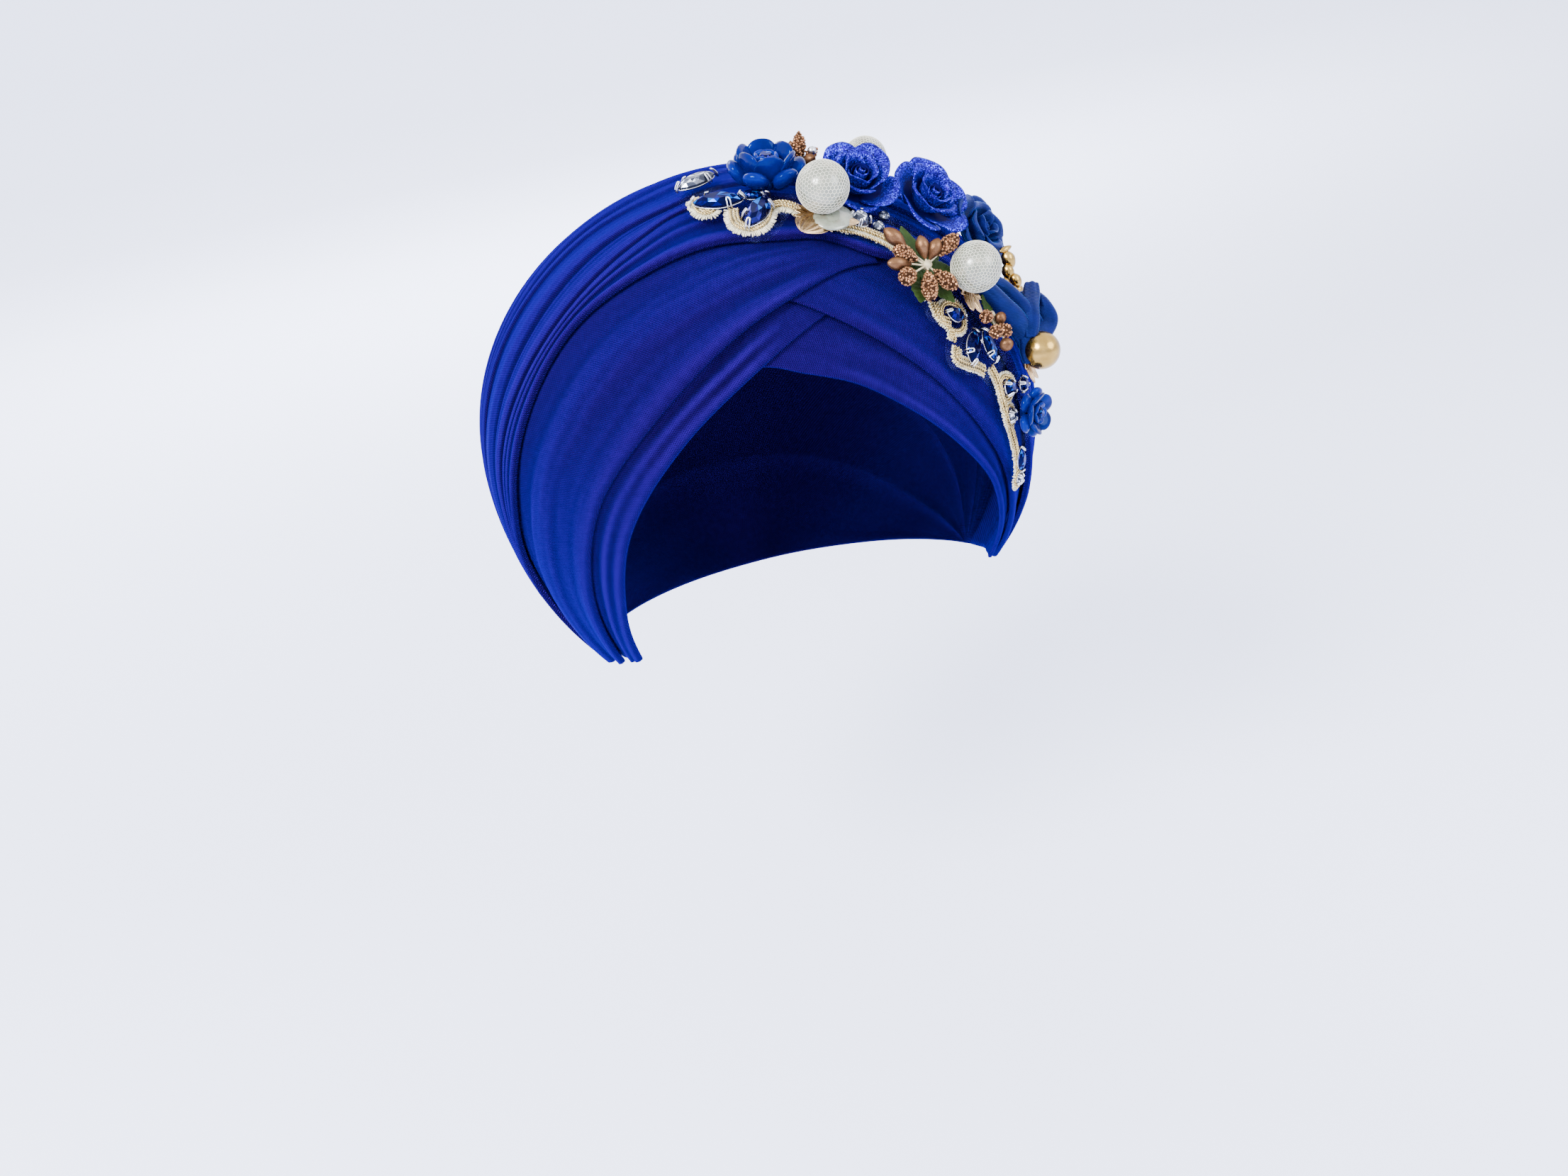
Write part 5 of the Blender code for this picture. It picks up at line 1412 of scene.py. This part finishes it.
gold_string = Form()
for k, (middle, length, width, turn, pitch) in enumerate(GOLD_DROPS):
    gold_string.add(gold_drop(length, width, 1.7 * k), posed(turn, pitch, middle))
wire_path = [(-4.0, -0.9, 1.4), (-1.0, -4.2, 1.8), (2.5, -6.0, 1.0), (5.0, -3.0, 0.8), (4.0, 2.0, 0.9), (1.0, 0.0, 0.6),
             (-1.0, 0.7, 2.6), (-1.5, 4.4, 2.2), (0.0, 7.2, 4.0), (0.0, 10.6, 5.4)]
gold_string.add(tube(curve_through(wire_path, 70), 0.34))
gold_string.add(lathe([(0, -1.1, 0), (1.1, -0.7, 0), (1.1, 0.7, 0), (0, 1.1, 0)], 14))
add_piece("gold_berries_drops", gold_string.mesh(seat(60.0, 19.5, 1.0, 0, 1.2, 0, 180)), polished_gold,
          ["gold_berries"])

# leaf_spray_...: pointed leaves of ribbed green cloth under the berries.
# They are bound in with the stems at a flat round hub.

# Each spray: azimuth, elevation and radius of its hub, and its leaves as (turn, length, width)
LEAVES = {
    "leaf_spray_main": (30.4, 31.6, 2.6, [
        (-25, 12, 7.5), (-80, 13.5, 7.5), (-135, 13, 7), (75, 14, 7.5), (20, 12.5, 6.5)]),
    "leaf_spray_side": (42.2, 18.4, 1.6, [(60, 8.5, 5.5), (-60, 9, 5.5)]),
}


def leaf(length, width, seed):
    """Grid of a leaf along X, ribbed from its middle vein and a little curled."""
    run, side, half = blade(width, 40, 17, 0.85, 0.8)
    out = np.abs(side)
    half = half * (1 + 0.05 * np.sin(run * 46) * out)
    full = half / width * 2
    ribs = 0.2 * np.sin(2 * math.pi * (run * 8 - out * 1.1)) * out ** 0.5 * full
    z = 0.7 + ribs + 0.28 * out * full + 0.5 * run * math.sin(seed) + 0.6 * run ** 2
    return np.stack([run * length + 0 * side, side * half, z], axis=2)


def leaf_cloth():
    cloth = Finish("ribbed green leaf cloth", {
        "Specular IOR Level": 0.15, "Specular Tint": (0.6, 1.0, 0.4), "Sheen Weight": 0.08,
        "Sheen Tint": (0.4, 0.7, 0.2), "Sheen Roughness": 0.5})
    patch, thread = cloth.noise(420.0, 4.0), cloth.noise(3200.0, 2.0)
    shade = patch * 0.6 + thread * 0.3 + cloth.stored("tone") * 0.15
    return cloth.fed({
        "Base Color": cloth.ramp(shade, (0.25, (0.0034, 0.0080, 0.0014)), (0.55, (0.0115, 0.0225, 0.0036)),
                                 (0.8, (0.034, 0.056, 0.0100))),
        "Roughness": thread * 0.3 + 0.45,
        "Normal": cloth.bump(0.6, 0.0002, patch + thread)})


leaf_green = leaf_cloth()
for spray_name, (azimuth, elevation, hub, leaves) in LEAVES.items():
    foliage = Form()
    foliage.add(lathe([(0, 0, 0), (hub, 0, 0), (hub, 0.8, 0), (0, 0.8, 0)], 20), tone=0.2)
    for k, (turn, length, width) in enumerate(leaves):
        two_faced(foliage, leaf(length * 1.04, width * 1.08, 2.1 * k + 1), LEAF_WALL, 0.7, 0.2, posed(turn, 2))
    add_piece(spray_name + "_leaves", foliage.mesh(seat(azimuth, elevation, 8.0 if hub > 2 else 4.0)),
              leaf_green, [spray_name])

# The floor is pale and plain, far enough below the hat to leave it hanging free.
# It rises far away on all sides, so that no edge shows.

# Its rings: distance from the middle and height in metres
FLOOR_RINGS = [(3.0, -0.22), (4.0, -0.2), (4.8, -0.08), (5.5, 0.2), (6.0, 0.7), (6.2, 1.3)]
FLOOR_SIDES = 48
floor_points = [(reach * math.cos(turn), reach * math.sin(turn), height) for reach, height in FLOOR_RINGS
                for turn in np.linspace(0, 2 * math.pi, FLOOR_SIDES, endpoint=False)]
floor_points.append((0, 0, FLOOR_RINGS[0][1]))
floor_faces = []
for k in range(FLOOR_SIDES):
    after = (k + 1) % FLOOR_SIDES
    floor_faces.append((k, after, len(floor_points) - 1))
    floor_faces += [(start + FLOOR_SIDES + k, start + FLOOR_SIDES + after, start + after, start + k)
                    for start in range(0, FLOOR_SIDES * (len(FLOOR_RINGS) - 1), FLOOR_SIDES)]
floor_mesh = bpy.data.meshes.new("floor")
floor_mesh.from_pydata(floor_points, [], floor_faces)
floor_mesh.shade_smooth()
floor = bpy.data.objects.new("floor", floor_mesh)
bpy.context.scene.collection.objects.link(floor)
floor_look = Finish("pale floor", {"Roughness": 0.9})
floor_grain = floor_look.add("ShaderNodeTexNoise", {}, {"Scale": 3.0, "Detail": 2.0})
floor_mesh.materials.append(floor_look.fed({
    "Base Color": floor_look.ramp(floor_grain, (0.0, (0.76, 0.795, 0.985)), (1.0, (0.78, 0.815, 1.0)))}))

# Soft studio light: a large lamp above and in front on the wearer's right, a weaker one on the left,
# one behind, one for the backdrop, and pale surroundings.
WORLD_COLOUR = (0.88, 0.912, 1.0, 1)
WORLD_STRENGTH = 3.3
COOL_WHITE = (0.95, 0.97, 1.0)
# Each lamp: place, what it points at, size in metres, power in watts and colour
LAMPS = {
    "key lamp": ((-0.85, -0.75, 0.85), (0, 0, 0), 0.55, 52, (1, 1, 1)),
    "fill lamp": ((0.9, -0.9, 0.5), (0, 0, 0), 0.8, 18, (0.92, 0.95, 1.0)),
    "rear lamp": ((-0.3, 0.9, 0.9), (0, 0, 0), 0.6, 9, COOL_WHITE),
    "backdrop lamp": ((0.4, 1.7, 1.5), (-0.6, 4.2, -0.2), 1.6, 190, COOL_WHITE),
}
world = bpy.data.worlds.new("studio")
bpy.context.scene.world = world
world.use_nodes = True
sky = world.node_tree.nodes["Background"]
sky.inputs["Color"].default_value = WORLD_COLOUR
sky.inputs["Strength"].default_value = WORLD_STRENGTH
for lamp_name, (place, aim, size, power, colour) in LAMPS.items():
    lamp = bpy.data.lights.new(lamp_name, "AREA")
    lamp.shape = "DISK"
    lamp.size = size
    lamp.energy = power
    lamp.color = colour
    softbox = bpy.data.objects.new(lamp_name, lamp)
    facing = (Vector(aim) - Vector(place)).to_track_quat("-Z", "Y").to_matrix().to_4x4()
    softbox.matrix_world = Matrix.Translation(place) @ facing
    bpy.context.scene.collection.objects.link(softbox)
